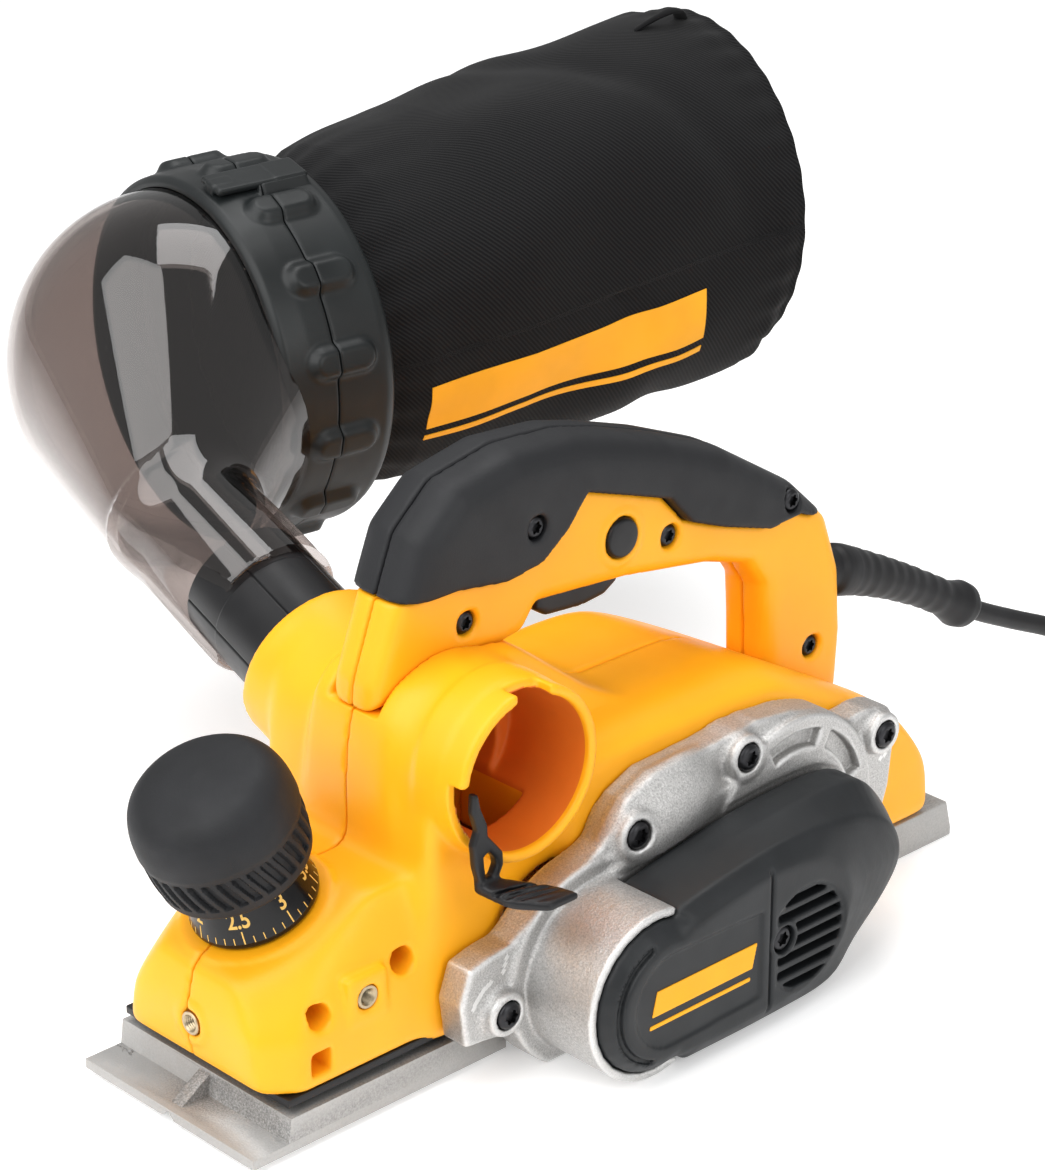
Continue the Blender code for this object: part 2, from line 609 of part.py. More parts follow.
def side_casting():
    base = prism("belt_side_casting", CASTING_OUTLINE, FACE_X, 54.0)
    drum = x_rod("drum_case", DRUM_Y, DRUM_Z, 29.0, FACE_X + 0.11, 84.0, 48)
    collar = x_rod("drum_flange", DRUM_Y, DRUM_Z, 35.0, FACE_X + 0.17, 55.2, 48)
    motor = x_rod("motor_case", MOTOR_Y, MOTOR_Z, 37.0, FACE_X + 0.23, 58.0, 48)
    web = hull("web", [p for x in (FACE_X + 0.37, 57.1)
                       for p in ring((0, DRUM_Y, DRUM_Z), (1, 0, 0), 27.7, x, 24)
                       + ring((0, MOTOR_Y, MOTOR_Z), (1, 0, 0), 30.3, x, 24)])
    bulge = hull("bulge", [p for x, r in ((50.0, 19.0), (56.0, 17.0), (60.3, 12.0),
                                          (62.3, 6.0))
                           for c in (-8.0, 10.0)
                           for p in ring((0, c, 64.0 + (c + 8) * 0.35), (1, 0, 0), r, x, 14)])
    bosses = [x_rod("boss", y, z, 7.5, FACE_X + 0.51 + 0.05 * i, 58.45 + 0.07 * i, 16)
              for i, (y, z) in enumerate(CASTING_SCREWS)]
    solid = merge(base, drum, collar, motor, web, bulge, *bosses)
    room = grown(cover_outline(COVER_BASE, COVER_END), 0.5)
    tools = [prism("cover_room", room, 57.63, 92.0),
             block("below", (30.0, -120.0, -30.0), (90.0, 40.0, 0.6)),
             x_rod("drum_bore", DRUM_Y, DRUM_Z, 13.2, 30.0, 70.0, 40),
             x_rod("motor_bore", MOTOR_Y, MOTOR_Z, 12.2, 30.0, 70.0, 40)]
    for y, z in CASTING_SCREWS:
        tools.append(x_rod("screw_bore", y, z, 2.8, 30.0, 70.0, 10))
        tools.append(x_rod("head_seat", y, z, 4.9, 55.5, 70.0, 16))
    tools += [arc_slot(16), arc_slot(70)]
    tools.append(x_rod("cover_screw_bore", *COVER_SCREW, 2.4, 45.0, 70.0, 16))
    return cut(solid, *tools)


def arc_slot(start):
    """One curved pocket in the motor case, between two radii."""
    outer = arc(MOTOR_Y, MOTOR_Z, 32.0, start, start + 44, 6)
    inner = arc(MOTOR_Y, MOTOR_Z, 26.0, start + 44, start, 6)
    return prism("arc_slot", outer + inner, 54.5, 62.0)


def belt_cover():
    levels = ((58.8, COVER_BASE, COVER_END), (72.0, COVER_BASE, COVER_END),
              (84.5, COVER_SHOULDER, COVER_END), (89.6, COVER_FACE, COVER_END - 5.0))
    cover = loft("belt_cover", [[(x, y, z) for y, z in cover_outline(rear, end)]
                                for x, rear, end in levels])
    stadium = ring((0, DRUM_Y, DRUM_Z), (1, 0, 0), 20.0, 50.0, 32)
    stadium += ring((0, DRUM_Y, DRUM_Z), (1, 0, 0), 20.0, 82.0, 32)
    stadium += ring((0, MOTOR_Y, MOTOR_Z), (1, 0, 0), 14.0, 50.0, 32)
    stadium += ring((0, MOTOR_Y, MOTOR_Z), (1, 0, 0), 14.0, 80.5, 32)
    tools = [hull("belt_room", stadium)]
    tools.append(x_rod("screw_bore", *COVER_SCREW, 2.4, 50.0, 95.0, 16))
    tools.append(x_rod("screw_seat", *COVER_SCREW, 4.9, 84.0, 95.0, 24))
    for i in range(6):
        z = 17.5 + 5.4 * i
        length = 16.0 - 0.9 * abs(i - 2.5) ** 1.6
        tools.append(block("vent", (83.0, 27.5, z - 1.4), (95.0, 27.5 + length, z + 1.4)))
    return cut(cover, *tools)


def x_screw(name, y, z, shank, head, x0, head_x, x1):
    """A screw along X: shank from x0, head from head_x to x1."""
    length = x1 - x0
    seat = head_x - x0
    profile = [(0, 0), (shank, 0), (shank, seat), (head, seat), (head, length - 0.6),
               (head - 0.8, length), (0, length)]
    return turned(name, (x0, y, z), (1, 0, 0), profile, 16)


# ---------------------------------------------------------------- handle

HANDLE_HALF = 11.0
GRIP_HALF = 15.5
HANDLE_SCREWS = [(-17.6, 161.5, GRIP_HALF), (46.4, 138.5, HANDLE_HALF),
                 (101.0, 136.5, GRIP_HALF), (-43.6, 135.6, HANDLE_HALF),
                 (117.0, 76.6, HANDLE_HALF)]
SHANK_START = -6.0


def handle_solid(name, half, inset):
    """The whole handle loop at one width, with sloped shoulders on both sides."""
    loops = []
    for x, narrow in ((-half, inset), (-half + 4.5, 0.0), (half - 4.5, 0.0), (half, inset)):
        loops.append([(x, y, z) for y, z in grown(HANDLE_OUTLINE, -narrow)])
    solid = loft(name, loops)
    tools = [block("switch_room", (-7.5, -11.0, 118.0), (7.5, 36.0, 153.5)),
             x_rod("button_bore", 23.4, 145.0, 7.2, 0.0, 30.0, 24),
             rod("cord_bore", (0, 118.0, 102.4), (0, 150.0, 91.9), 8.2, 20)]
    for y, z, side in HANDLE_SCREWS:
        tools.append(x_rod("screw_bore", y, z, 1.9, SHANK_START - 2, side - 2, 10))
        tools.append(x_rod("head_seat", y, z, 4.2, side - 3.7, 30.0, 14))
    return cut(solid, *tools)


def handle_parts():
    region = GRIP_EDGE + [(150.0, 126.0), (150.0, 230.0), (-110.0, 230.0), (-110.0, 150.0)]
    shell = cut(handle_solid("shell", HANDLE_HALF, 2.5), prism("upper", region, -40, 40))
    lowered = [(y, z + GAP) for y, z in GRIP_EDGE]
    under = [(150.0, -50.0), (150.0, 126.0 + GAP)] + list(reversed(lowered))
    under += [(-110.0, 150.0 + GAP), (-110.0, -50.0)]
    grip = cut(handle_solid("grip", GRIP_HALF, 4.0), prism("lower", under, -40, 40))
    made = [half_of(shell, "handle_left", 1), half_of(shell, "handle_right", -1),
            half_of(grip, "grip_left", 1), half_of(grip, "grip_right", -1)]
    for spare in (shell, grip):
        bpy.data.objects.remove(spare, do_unlink=True)
    return made


def trigger():
    outline = [(-9.0, 127.5), (-4.0, 124.0), (12.0, 122.5), (22.0, 123.5), (28.0, 127.0),
               (28.0, 131.5), (-6.0, 138.0), (-8.6, 134.0)]
    return prism("trigger", outline, -5.5, 5.5)


def switch_body():
    return block("switch_body", (-7.0, 2.0, 143.0), (0.8, 34.0, 153.0))


def lock_button():
    profile = [(0, 0), (6.9, 0), (6.9, 7.2), (6.0, 8.4), (0, 8.4)]
    return turned("lock_button", LOCK_AXIS, (1, 0, 0), profile, 24)


# ---------------------------------------------------------------- chip port lever

def port_lever():
    """A catch beside the port: an upright plate and a thumb tab that points outwards."""
    plate = hull("port_lever", [(x, y, z) for x in (48.6, 52.0) for y, z in (
        (-79.4, 103.0), (-76.6, 103.0), (-70.5, 71.5), (-76.5, 71.5))])
    arm = hull("arm", [(x, y, z) for x, y, z in (
        (50.0, -78.0, 74.5), (50.0, -71.0, 74.5), (50.0, -78.0, 69.5), (50.0, -71.0, 69.5),
        (63.0, -73.0, 69.5), (63.0, -57.0, 69.5), (63.0, -73.0, 66.5), (63.0, -57.0, 66.5),
        (71.0, -65.0, 69.0), (71.0, -54.5, 69.0), (71.0, -65.0, 66.5), (71.0, -54.5, 66.5))])
    return merge(plate, arm)


# ---------------------------------------------------------------- dust elbow and bag

def dust_sleeve():
    """Black sleeve: a wide foot inside the port, a neck that carries the clear elbow."""
    base = PIPE_MOUTH - PIPE_DIR * 18.0
    profile = [(20.6, 0), (25.1, 0), (25.1, 17.0), (23.6, 18.5), (22.4, 20.0), (22.4, 62.0),
               (20.6, 62.0)]
    return turned("dust_sleeve", base, PIPE_DIR, profile, 32, closed=True)


ELBOW_START = 27.0
ELBOW_BEND = 84.0
DOME_MID = COLLAR_MID - BAG_DIR * 30.0


def elbow_points(tube_radius, dome_radius):
    """Points round the bend ring of the tube and the round dome, for one convex skin."""
    bend = PIPE_MOUTH + PIPE_DIR * ELBOW_BEND
    points = ring(bend, PIPE_DIR, tube_radius, 0, 26)
    for i in range(7):
        a = math.radians(-90 + 90 * i / 6)
        if i == 0:
            points.append(DOME_MID - BAG_DIR * dome_radius)
        else:
            points += ring(DOME_MID, BAG_DIR, dome_radius * math.cos(a),
                           dome_radius * math.sin(a), 30)
    return points


def dust_elbow():
    """Clear tube along the pipe axis that widens into a clear dome behind the collar."""
    start = PIPE_MOUTH + PIPE_DIR * ELBOW_START
    bend = PIPE_MOUTH + PIPE_DIR * ELBOW_BEND
    outer = hull("dust_elbow", elbow_points(25.4, DOME_R))
    skirt = rod("skirt", DOME_MID - BAG_DIR * 0.5, COLLAR_MID - BAG_DIR * 8.6, DOME_R - 0.4, 30)
    pipe = rod("pipe", start, bend + PIPE_DIR * 0.6, 25.2, 26)
    merge(outer, skirt, pipe)
    hollow = hull("hollow", elbow_points(22.8, DOME_R - 2.6))
    mouth = rod("mouth", DOME_MID - BAG_DIR * 1.0, COLLAR_MID + BAG_DIR * 9.0, DOME_R - 3.0, 30)
    bore = rod("bore", start - PIPE_DIR * 3.0, bend + PIPE_DIR * 1.2, 22.7, 26)
    return cut(outer, hollow, mouth, bore)


def lobed_ring(name, x0, x1, inner, outer, lobes):
    """A collar half with raised finger lobes on its rim."""
    count = lobes * 4
    u, v, w = side_vectors(BAG_DIR)
    loops = []
    for radius, height, lobe in ((inner, x0, 0), (outer - 3.0, x0, 0), (outer - 1.5, x0 + 2, 1),
                                 (outer - 1.5, x1 - 2, 1), (outer - 3.0, x1, 0),
                                 (inner, x1, 0)):
        loop = []
        for i in range(count):
            a = 2 * math.pi * i / count
            r = radius + (1.5 if lobe and i % 4 in (0, 1) else 0.0)
            centre = COLLAR_MID + w * height
            loop.append(centre + u * (r * math.cos(a)) + v * (r * math.sin(a)))
        loops.append(loop)
    return loft(name, loops, closed=True)


def collar_latch():
    """Press tab on the collar that holds the bag ring in place."""
    across = LATCH_UP.cross(BAG_DIR).normalized()
    top = COLLAR_MID + LATCH_UP * (COLLAR_R + GAP)
    points = []
    for along, high in ((-27.0, 2.6), (-24.0, 4.6), (6.0, 5.2), (10.0, 3.0), (10.0, 0.0),
                        (-27.0, 0.0)):
        for side in (-5.5, 5.5):
            points.append(top + BAG_DIR * along + LATCH_UP * high + across * side)
    return hull("collar_latch", points)


def bag_centre(s):
    lift = BAG_RISE * (max(0.0, s - 10.0) / BAG_LENGTH) ** 0.9
    return COLLAR_MID + BAG_DIR * s + Vector((0, 0, lift))


BAG_STATIONS = [(18.0, 60.0), (24.0, 60.3), (36.0, 64.0), (80.0, 68.0), (135.0, 69.0),
                (195.0, 67.5)]
BAG_SKIN = 1.6


def bag_ring(s, radius, count=32):
    u, v, w = side_vectors(BAG_DIR)
    centre = bag_centre(s)
    loop = []
    for i in range(count):
        a = 2 * math.pi * i / count
        sag = 1.0 - 0.035 * math.cos(4 * a) * min(1.0, max(0.0, (s - 20.0) / 60.0))
        loop.append(centre + u * (radius * sag * math.cos(a)) + v * (radius * sag * math.sin(a)))
    return loop


def dust_bag():
    outer = [bag_ring(s, r) for s, r in BAG_STATIONS]
    outer += [bag_ring(204.0, 66.0), bag_ring(208.5, 59.0), bag_ring(211.0, 40.0)]
    inner = [bag_ring(s, r - BAG_SKIN) for s, r in BAG_STATIONS]
    inner += [bag_ring(202.6, 64.3), bag_ring(206.8, 58.0), bag_ring(209.3, 40.0)]
    bm = bmesh.new()
    count = len(outer[0])
    outer_rings = [[bm.verts.new(p) for p in loop] for loop in outer]
    inner_rings = [[bm.verts.new(p) for p in loop] for loop in inner]
    for rings in (outer_rings, inner_rings):
        for low, high in zip(rings, rings[1:]):
            for i in range(count):
                j = (i + 1) % count
                bm.faces.new((low[i], low[j], high[j], high[i]))
        tip_height = 212.0 if rings is outer_rings else 210.4
        tip = bm.verts.new(bag_centre(tip_height))
        for i in range(count):
            j = (i + 1) % count
            bm.faces.new((rings[-1][i], rings[-1][j], tip))
    for i in range(count):
        j = (i + 1) % count
        bm.faces.new((outer_rings[0][i], outer_rings[0][j], inner_rings[0][j],
                      inner_rings[0][i]))
    return finish_mesh("dust_bag", bm)


# ---------------------------------------------------------------- cord

CORD_ROUTE = [(0.0, 205.0, 62.6), (0.0, 213.5, 57.9), (0.0, 224.0, 52.4), (0.5, 242.0, 44.0),
              (2.0, 262.0, 35.0), (5.0, 284.0, 23.0), (8.5, 304.0, 12.0), (11.0, 322.0, 5.3),
              (12.0, 336.0, 4.0), (12.0, 352.0, 4.0)]


def smooth_route(points, spacing):
    """Points at an even spacing on a Catmull-Rom curve through the given points."""
    line = []
    pts = [Vector(p) for p in points]
    pts = [pts[0] * 2 - pts[1]] + pts + [pts[-1] * 2 - pts[-2]]
    for a, b, c, d in zip(pts, pts[1:], pts[2:], pts[3:]):
        for i in range(24):
            t = i / 24
            line.append(0.5 * ((2 * b) + (c - a) * t + (2 * a - 5 * b + 4 * c - d) * t * t
                               + (3 * b - a - 3 * c + d) * t ** 3))
    line.append(pts[-2])
    total = sum((q - p).length for p, q in zip(line, line[1:]))
    steps = max(2, round(total / spacing))
    result = [line[0]]
    travelled = 0.0
    wanted = 1
    for p, q in zip(line, line[1:]):
        length = (q - p).length
        while wanted < steps and travelled + length >= wanted * total / steps:
            share = (wanted * total / steps - travelled) / length
            result.append(p.lerp(q, share))
            wanted += 1
        travelled += length
    result.append(line[-1])
    return result


def power_cord():
    curve = bpy.data.curves.new("power_cord", "CURVE")
    curve.dimensions = "3D"
    spline = curve.splines.new("POLY")
    points = smooth_route(CORD_ROUTE, 2.5 * 2 * CORD_R)
    spline.points.add(len(points) - 1)
    for point, place in zip(spline.points, points):
        point.co = (place.x * MM, place.y * MM, place.z * MM, 1.0)
    curve.bevel_depth = CORD_R * MM
    curve.bevel_resolution = 3
    curve.use_fill_caps = True
    thing = bpy.data.objects.new("power_cord", curve)
    bpy.context.scene.collection.objects.link(thing)
    return thing


def cord_guard():
    """Rubber bend relief round the cord, thick at the handle, with a bulb at its end."""
    path = [Vector((0, y, z)) for y, z in
            ((127.0, 99.5), (136.5, 96.3), (139.8, 95.2), (151.0, 90.9), (168.0, 83.2),
             (186.0, 73.8), (203.0, 63.8), (208.0, 61.0), (213.0, 58.2))]
    sizes = [7.6, 7.6, 9.2, 8.4, 7.4, 6.8, 6.8, 8.6, 7.0]
    loops = []
    for i, (centre, radius) in enumerate(zip(path, sizes)):
        ahead = path[min(i + 1, len(path) - 1)] - path[max(i - 1, 0)]
        loops.append(ring(centre, ahead, radius, 0, 24))
    guard = loft("cord_guard", loops)
    start = Vector((0, 201.0, 64.9))
    end = Vector((0, 216.0, 56.5))
    return cut(guard, rod("bore", start, end, CORD_R + GAP, 24))


def cord_coil():
    """The rest of the cord, wound flat in two layers on the floor."""
    wide, tall, corner = COIL_HALF_WIDTH, COIL_HALF_HEIGHT, 4.0
    profile = [(-wide, corner - tall), (corner - wide, -tall), (wide - corner, -tall),
               (wide, corner - tall), (wide, tall - corner), (wide - corner, tall),
               (corner - wide, tall), (-wide, tall - corner)]
    rings = [(COIL_R + across, height) for across, height in profile]
    return turned("cord_coil", COIL_MID, (0, 0, 1), rings, 36, closed=True)


def power_plug():
    """Round plug with two pins, lying beside the coil."""
    base = COIL_MID + Vector((60.5, -33.5, 2.8))
    heading = Vector((0.08, -1.0, 0.0)).normalized()
    across = Vector((heading.y, -heading.x, 0.0))
    grip = turned("power_plug", base, heading,
                  [(0, 0), (5.0, 0), (7.0, 4.0), (10.0, 14.0), (10.6, 24.0), (9.5, 29.0),
                   (0, 29.0)], 24)
    face = base + heading * 24.0
    disc = hull("disc", [p + across * s for s in (-8.0, 8.0)
                         for p in ring(face, heading, 9.4, 0, 20)
                         + ring(face, heading, 9.4, 8.0, 20)])
    pins = [rod("pin", face + across * s + heading * 6.0, face + across * s + heading * 27.0,
                2.0, 16) for s in (-9.5, 9.5)]
    return merge(grip, disc, *pins)


# ---------------------------------------------------------------- assembly

def hang_on(pivot, *names):
    """Put the origin of each named part on its joint's axis. The part stays where it is."""
    for name in names:
        thing = bpy.data.objects[name]
        thing.data.transform(Matrix.Translation(-pivot * MM))
        thing.location = pivot * MM


def build():
    clear_scene()
    yellow = material("yellow_plastic", (0.90, 0.47, 0.02), 0.0, 0.45)
    black = material("black_plastic", (0.02, 0.02, 0.022), 0.0, 0.5)
    soft = material("black_rubber", (0.025, 0.025, 0.025), 0.0, 0.8)
    cast = material("cast_aluminium", (0.62, 0.61, 0.60), 0.9, 0.5)
    steel = material("steel", (0.55, 0.55, 0.56), 1.0, 0.3)
    screw_black = material("black_screw", (0.03, 0.03, 0.03), 0.7, 0.4)
    copper = material("copper", (0.70, 0.32, 0.15), 1.0, 0.35)
    brass = material("brass", (0.78, 0.57, 0.25), 1.0, 0.3)
    clear = material("smoked_clear", (0.08, 0.07, 0.07), 0.0, 0.1, 0.45)
    cloth = material("black_cloth", (0.02, 0.02, 0.02), 0.0, 0.95)

    def add(thing, mat):
        thing.data.materials.clear()
        thing.data.materials.append(mat)

    add(rear_shoe(), cast)
    add(front_shoe(), cast)
    add(depth_nut(), brass)
    add(front_guide(), black)
    add(depth_screw(), steel)
    add(depth_dial(), black)
    add(knob_cap(), soft)
    add(drum_solid(), cast)
    add(cutter_blade("cutter_blade_a", 1), steel)
    add(cutter_blade("cutter_blade_b", -1), steel)
    add(blade_clamp("blade_clamp_a", 1), steel)
    add(blade_clamp("blade_clamp_b", -1), steel)
    add(pulley("drum_pulley", DRUM_Y, DRUM_Z, 6.1, DRUM_PULLEY_R, 61.0, 73.0), cast)
    add(pulley("motor_pulley", MOTOR_Y, MOTOR_Z, 4.6, MOTOR_PULLEY_R, 61.0, 73.0), cast)
    add(drive_belt(), soft)
    add(motor_shaft(), steel)
    add(armature(), copper)
    add(commutator(), copper)
    add(motor_fan(), black)
    add(stator(), steel)
    add(brush("brush_front", -1), black)
    add(brush("brush_rear", 1), black)
    add(bearing("drum_bearing_left", DRUM_Y, DRUM_Z, 6.1, 13.0, 45.0, 57.0), steel)
    add(bearing("drum_bearing_right", DRUM_Y, DRUM_Z, 6.1, 13.0, -47.6, -41.9), steel)
    add(bearing("motor_bearing_left", MOTOR_Y, MOTOR_Z, 4.6, 12.0, 45.0, 55.0), steel)
    add(bearing("motor_bearing_right", MOTOR_Y, MOTOR_Z, 4.6, 12.0, -45.5, -38.5), steel)
    left, right = housing_halves()
    add(left, yellow)
    add(right, yellow)
    add(threaded_insert("side_insert", (30.0, -113.0, 43.0), (40.6, -113.0, 43.0)), brass)
    add(threaded_insert("front_insert", (2.0, -140.0, 33.0), (2.0, -151.6, 33.0)), brass)
    add(side_casting(), cast)
    add(belt_cover(), black)
    add(x_screw("cover_screw", *COVER_SCREW, 2.1, 4.5, 50.0, 84.3, 87.2), screw_black)
    for letter, (y, z) in zip("abcd", CASTING_SCREWS):
        add(x_screw("casting_screw_" + letter, y, z, 2.5, 4.6, 34.0, 55.8, 59.6), screw_black)
    for thing, mat in zip(handle_parts(), (yellow, yellow, soft, soft)):
        add(thing, mat)
    for number, (y, z, side) in enumerate(HANDLE_SCREWS, 1):
        add(x_screw("handle_screw_" + str(number), y, z, 1.6, 3.9, SHANK_START, side - 3.2,
                    side - 1.0), screw_black)
    add(trigger(), black)
    add(switch_body(), black)
    add(lock_button(), black)
    add(port_lever(), black)
    add(dust_sleeve(), black)
    add(dust_elbow(), clear)
    add(lobed_ring("collar_front", -29.0, -8.2, DOME_R + 0.3, COLLAR_R, 18), black)
    add(lobed_ring("collar_rear", -7.8, 17.2, 60.6, COLLAR_R, 18), black)
    add(collar_latch(), black)
    add(dust_bag(), cloth)
    add(cord_guard(), soft)
    add(power_cord(), soft)
    add(cord_coil(), soft)
    add(power_plug(), black)

    hang_on(KNOB_BASE, "front_shoe", "depth_nut", "depth_screw", "depth_dial", "knob_cap")
    hang_on(DRUM_AXIS, "cutter_drum", "cutter_blade_a", "cutter_blade_b", "blade_clamp_a",
            "blade_clamp_b", "drum_pulley")
    hang_on(MOTOR_AXIS, "motor_shaft", "armature", "commutator", "motor_fan", "motor_pulley")
    hang_on(TRIGGER_PIVOT, "trigger")
    hang_on(LOCK_AXIS, "lock_button")
    hang_on(LEVER_PIVOT, "port_lever")
    hang_on(PIPE_MOUTH, "dust_sleeve", "dust_elbow", "collar_front", "collar_rear", "dust_bag")
    hang_on(LATCH_PIVOT, "collar_latch")


build()
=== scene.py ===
"""Electric hand planer with a chip elbow and a dust bag: the looks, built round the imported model.

Lengths are written in millimetres, in the model's own frame: +Z up, -Y front, +X belt side.
Moulded and cast shells are solid fields on a grid, skinned into smooth meshes.
"""
import copy
import math

import bmesh
import bpy
import numpy as np
from mathutils import Matrix, Vector


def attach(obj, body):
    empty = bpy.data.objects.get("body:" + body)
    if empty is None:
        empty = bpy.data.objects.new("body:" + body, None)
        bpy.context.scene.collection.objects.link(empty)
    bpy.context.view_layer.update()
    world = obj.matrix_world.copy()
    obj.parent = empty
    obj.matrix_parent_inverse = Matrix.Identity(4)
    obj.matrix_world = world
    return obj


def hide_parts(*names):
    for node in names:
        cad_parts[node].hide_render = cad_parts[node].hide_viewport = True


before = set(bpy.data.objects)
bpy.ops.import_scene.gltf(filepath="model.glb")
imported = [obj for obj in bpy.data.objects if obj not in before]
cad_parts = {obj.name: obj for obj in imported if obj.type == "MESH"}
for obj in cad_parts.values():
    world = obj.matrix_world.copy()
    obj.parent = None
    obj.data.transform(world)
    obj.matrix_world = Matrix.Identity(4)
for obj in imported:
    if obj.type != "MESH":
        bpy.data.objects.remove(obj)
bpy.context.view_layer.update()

MM = 0.001
GAP = 0.3

# driving sizes, the same as the model's
SHELL_FLOOR = 14.1
DRUM = (-32.0, 29.5)
CUT_R = 29.0
MOTOR = (59.0, 48.0)
MOTOR_R = 33.5
FACE_X = 42.8
KNOB_BASE = Vector((0.0, -122.5, 63.5))
KNOB_DIR = Vector((0.0, -math.sin(math.radians(23.0)), math.cos(math.radians(23.0))))
DUCT = (-55.0, 102.0)
DUCT_R = 25.5
DUCT_WALL = 3.4
PIPE_MOUTH = Vector((-59.2, -46.4, 101.0))
PIPE_DIR = Vector((-0.9540, 0.1171, 0.2760)).normalized()
BAG_DIR = Vector((0.1219, 0.9925, 0.0)).normalized()
COLLAR_MID = Vector((-205.5, 51.0, 146.0))
COLLAR_R = 71.0
DOME_R = 63.0
DOME_MID = COLLAR_MID - BAG_DIR * 30.0
BAG_LENGTH = 196.0
BAG_RISE = 20.0
CORD_R = 3.7
HANDLE_HALF = 11.0
GRIP_HALF = 15.5


# ---------------------------------------------------------------- fields

class Field:
    """A solid as signed distances, in millimetres, on a regular grid. Negative is inside."""

    def __init__(self, low, high, step):
        self.low = np.array(low, float)
        self.step = step
        axes = [np.arange(a, b + step, step, dtype=np.float32) for a, b in zip(low, high)]
        self.x = axes[0][:, None, None]
        self.y = axes[1][None, :, None]
        self.z = axes[2][None, None, :]
        self.d = np.full([len(a) for a in axes], 1000.0, np.float32)

    def side(self, sign, gap):
        """A field of the half on one side of the mid-plane, a little short of it."""
        half = copy.copy(self)
        half.keep(gap - sign * self.x)
        return half

    def add(self, other, blend=0.0):
        self.d = soft_min(self.d, other, blend)

    def cut(self, other, blend=0.0):
        self.d = -soft_min(-self.d, other, blend)

    def keep(self, other, blend=0.0):
        self.d = -soft_min(-self.d, -other, blend)

    def smooth(self, passes):
        """A binomial blur, which rounds every edge and fillets every inner corner."""
        for axis in range(3):
            for _ in range(passes):
                padded = np.pad(self.d, [(1, 1) if a == axis else (0, 0) for a in range(3)],
                                mode="edge")
                count = self.d.shape[axis]
                before = np.take(padded, range(0, count), axis)
                after = np.take(padded, range(2, count + 2), axis)
                self.d = 0.5 * self.d + 0.25 * (before + after)


def soft_min(a, b, blend):
    """The smaller of two values, blended where they are less than a width apart."""
    if blend <= 0:
        return np.minimum(a, b)
    h = np.clip(0.5 + 0.5 * (b - a) / blend, 0.0, 1.0)
    return b + (a - b) * h - blend * h * (1.0 - h)


def box(f, low, high, rounding=0.0):
    mid = [(a + b) / 2 for a, b in zip(low, high)]
    half = [(b - a) / 2 - rounding for a, b in zip(low, high)]
    q = [np.abs(v - m) - h for v, m, h in zip((f.x, f.y, f.z), mid, half)]
    outside = np.sqrt(sum(np.maximum(v, 0.0) ** 2 for v in q))
    inside = np.minimum(np.maximum(np.maximum(q[0], q[1]), q[2]), 0.0)
    return outside + inside - rounding


def rod(f, start, end, radius, edge=0.0):
    """A cylinder between two points, with its end edges rounded."""
    start, end = Vector(start), Vector(end)
    axis = (end - start).normalized()
    length = (end - start).length
    px, py, pz = f.x - start.x, f.y - start.y, f.z - start.z
    along = px * axis.x + py * axis.y + pz * axis.z
    radial = np.sqrt(np.maximum(px * px + py * py + pz * pz - along * along, 0.0))
    side = radial - radius
    ends = np.abs(along - length / 2) - length / 2
    return -soft_min(-side, -ends, edge)


def x_distance(f, centre):
    """Distance to a line along X through (y, z)."""
    return np.sqrt((f.y - centre[0]) ** 2 + (f.z - centre[1]) ** 2)


def between(f, x0, x1):
    """Distance to the slab between two planes across X."""
    return np.abs(f.x - (x0 + x1) / 2) - (x1 - x0) / 2


def x_rod(f, centre, radius, x0, x1, edge=0.0):
    """A cylinder along X, with its end edges rounded."""
    return -soft_min(radius - x_distance(f, centre), -between(f, x0, x1), edge)


def outline_distance(f, outline):
    """Distance to a closed (y, z) outline, one value for each (y, z) of the grid."""
    py = f.y[0, :, 0][:, None]
    pz = f.z[0, 0, :][None, :]
    best = np.full((py.shape[0], pz.shape[1]), 1e9, np.float32)
    inside = np.zeros(best.shape, bool)
    for (ay, az), (by, bz) in zip(outline, outline[1:] + outline[:1]):
        ey, ez = by - ay, bz - az
        wy, wz = py - ay, pz - az
        t = np.clip((wy * ey + wz * ez) / max(ey * ey + ez * ez, 1e-9), 0.0, 1.0)
        best = np.minimum(best, (wy - ey * t) ** 2 + (wz - ez * t) ** 2)
        crosses = (az > pz) != (bz > pz)
        side = py < ey * (pz - az) / (ez if abs(ez) > 1e-9 else 1e-9) + ay
        inside ^= crosses & side
    distance = np.sqrt(best)
    return np.where(inside, -distance, distance)[None, :, :].astype(np.float32)


def prism(f, outline, x0, x1, edge=0.0):
    """A (y, z) outline drawn out along X, with its end edges rounded."""
    return -soft_min(-outline_distance(f, outline), -between(f, x0, x1), edge)


def hull(f, points, edge):
    """The convex hull of some points, with its edges rounded by a soft maximum."""
    bm = bmesh.new()
    verts = [bm.verts.new(p) for p in points]
    bmesh.ops.convex_hull(bm, input=verts)
    bm.normal_update()
    centre = sum((Vector(p) for p in points), Vector()) / len(points)
    planes = {}
    for face in bm.faces:
        if face.calc_area() < 1e-4:
            continue
        n = face.normal.normalized()
        offset = n.dot(face.verts[0].co)
        if n.dot(centre) > offset:
            n, offset = -n, -offset
        planes[(round(n.x, 2), round(n.y, 2), round(n.z, 2), round(offset))] = (n, offset)
    bm.free()
    ordered = [planes[k] for k in sorted(planes)]
    highest = np.full(f.d.shape, -1e9, np.float32)
    for n, offset in ordered:
        highest = np.maximum(highest, n.x * f.x + n.y * f.y + n.z * f.z - offset)
    if edge <= 0:
        return highest
    total = np.zeros(f.d.shape, np.float32)
    for n, offset in ordered:
        total += np.exp((n.x * f.x + n.y * f.y + n.z * f.z - offset - highest) / edge)
    return highest + edge * np.log(total)


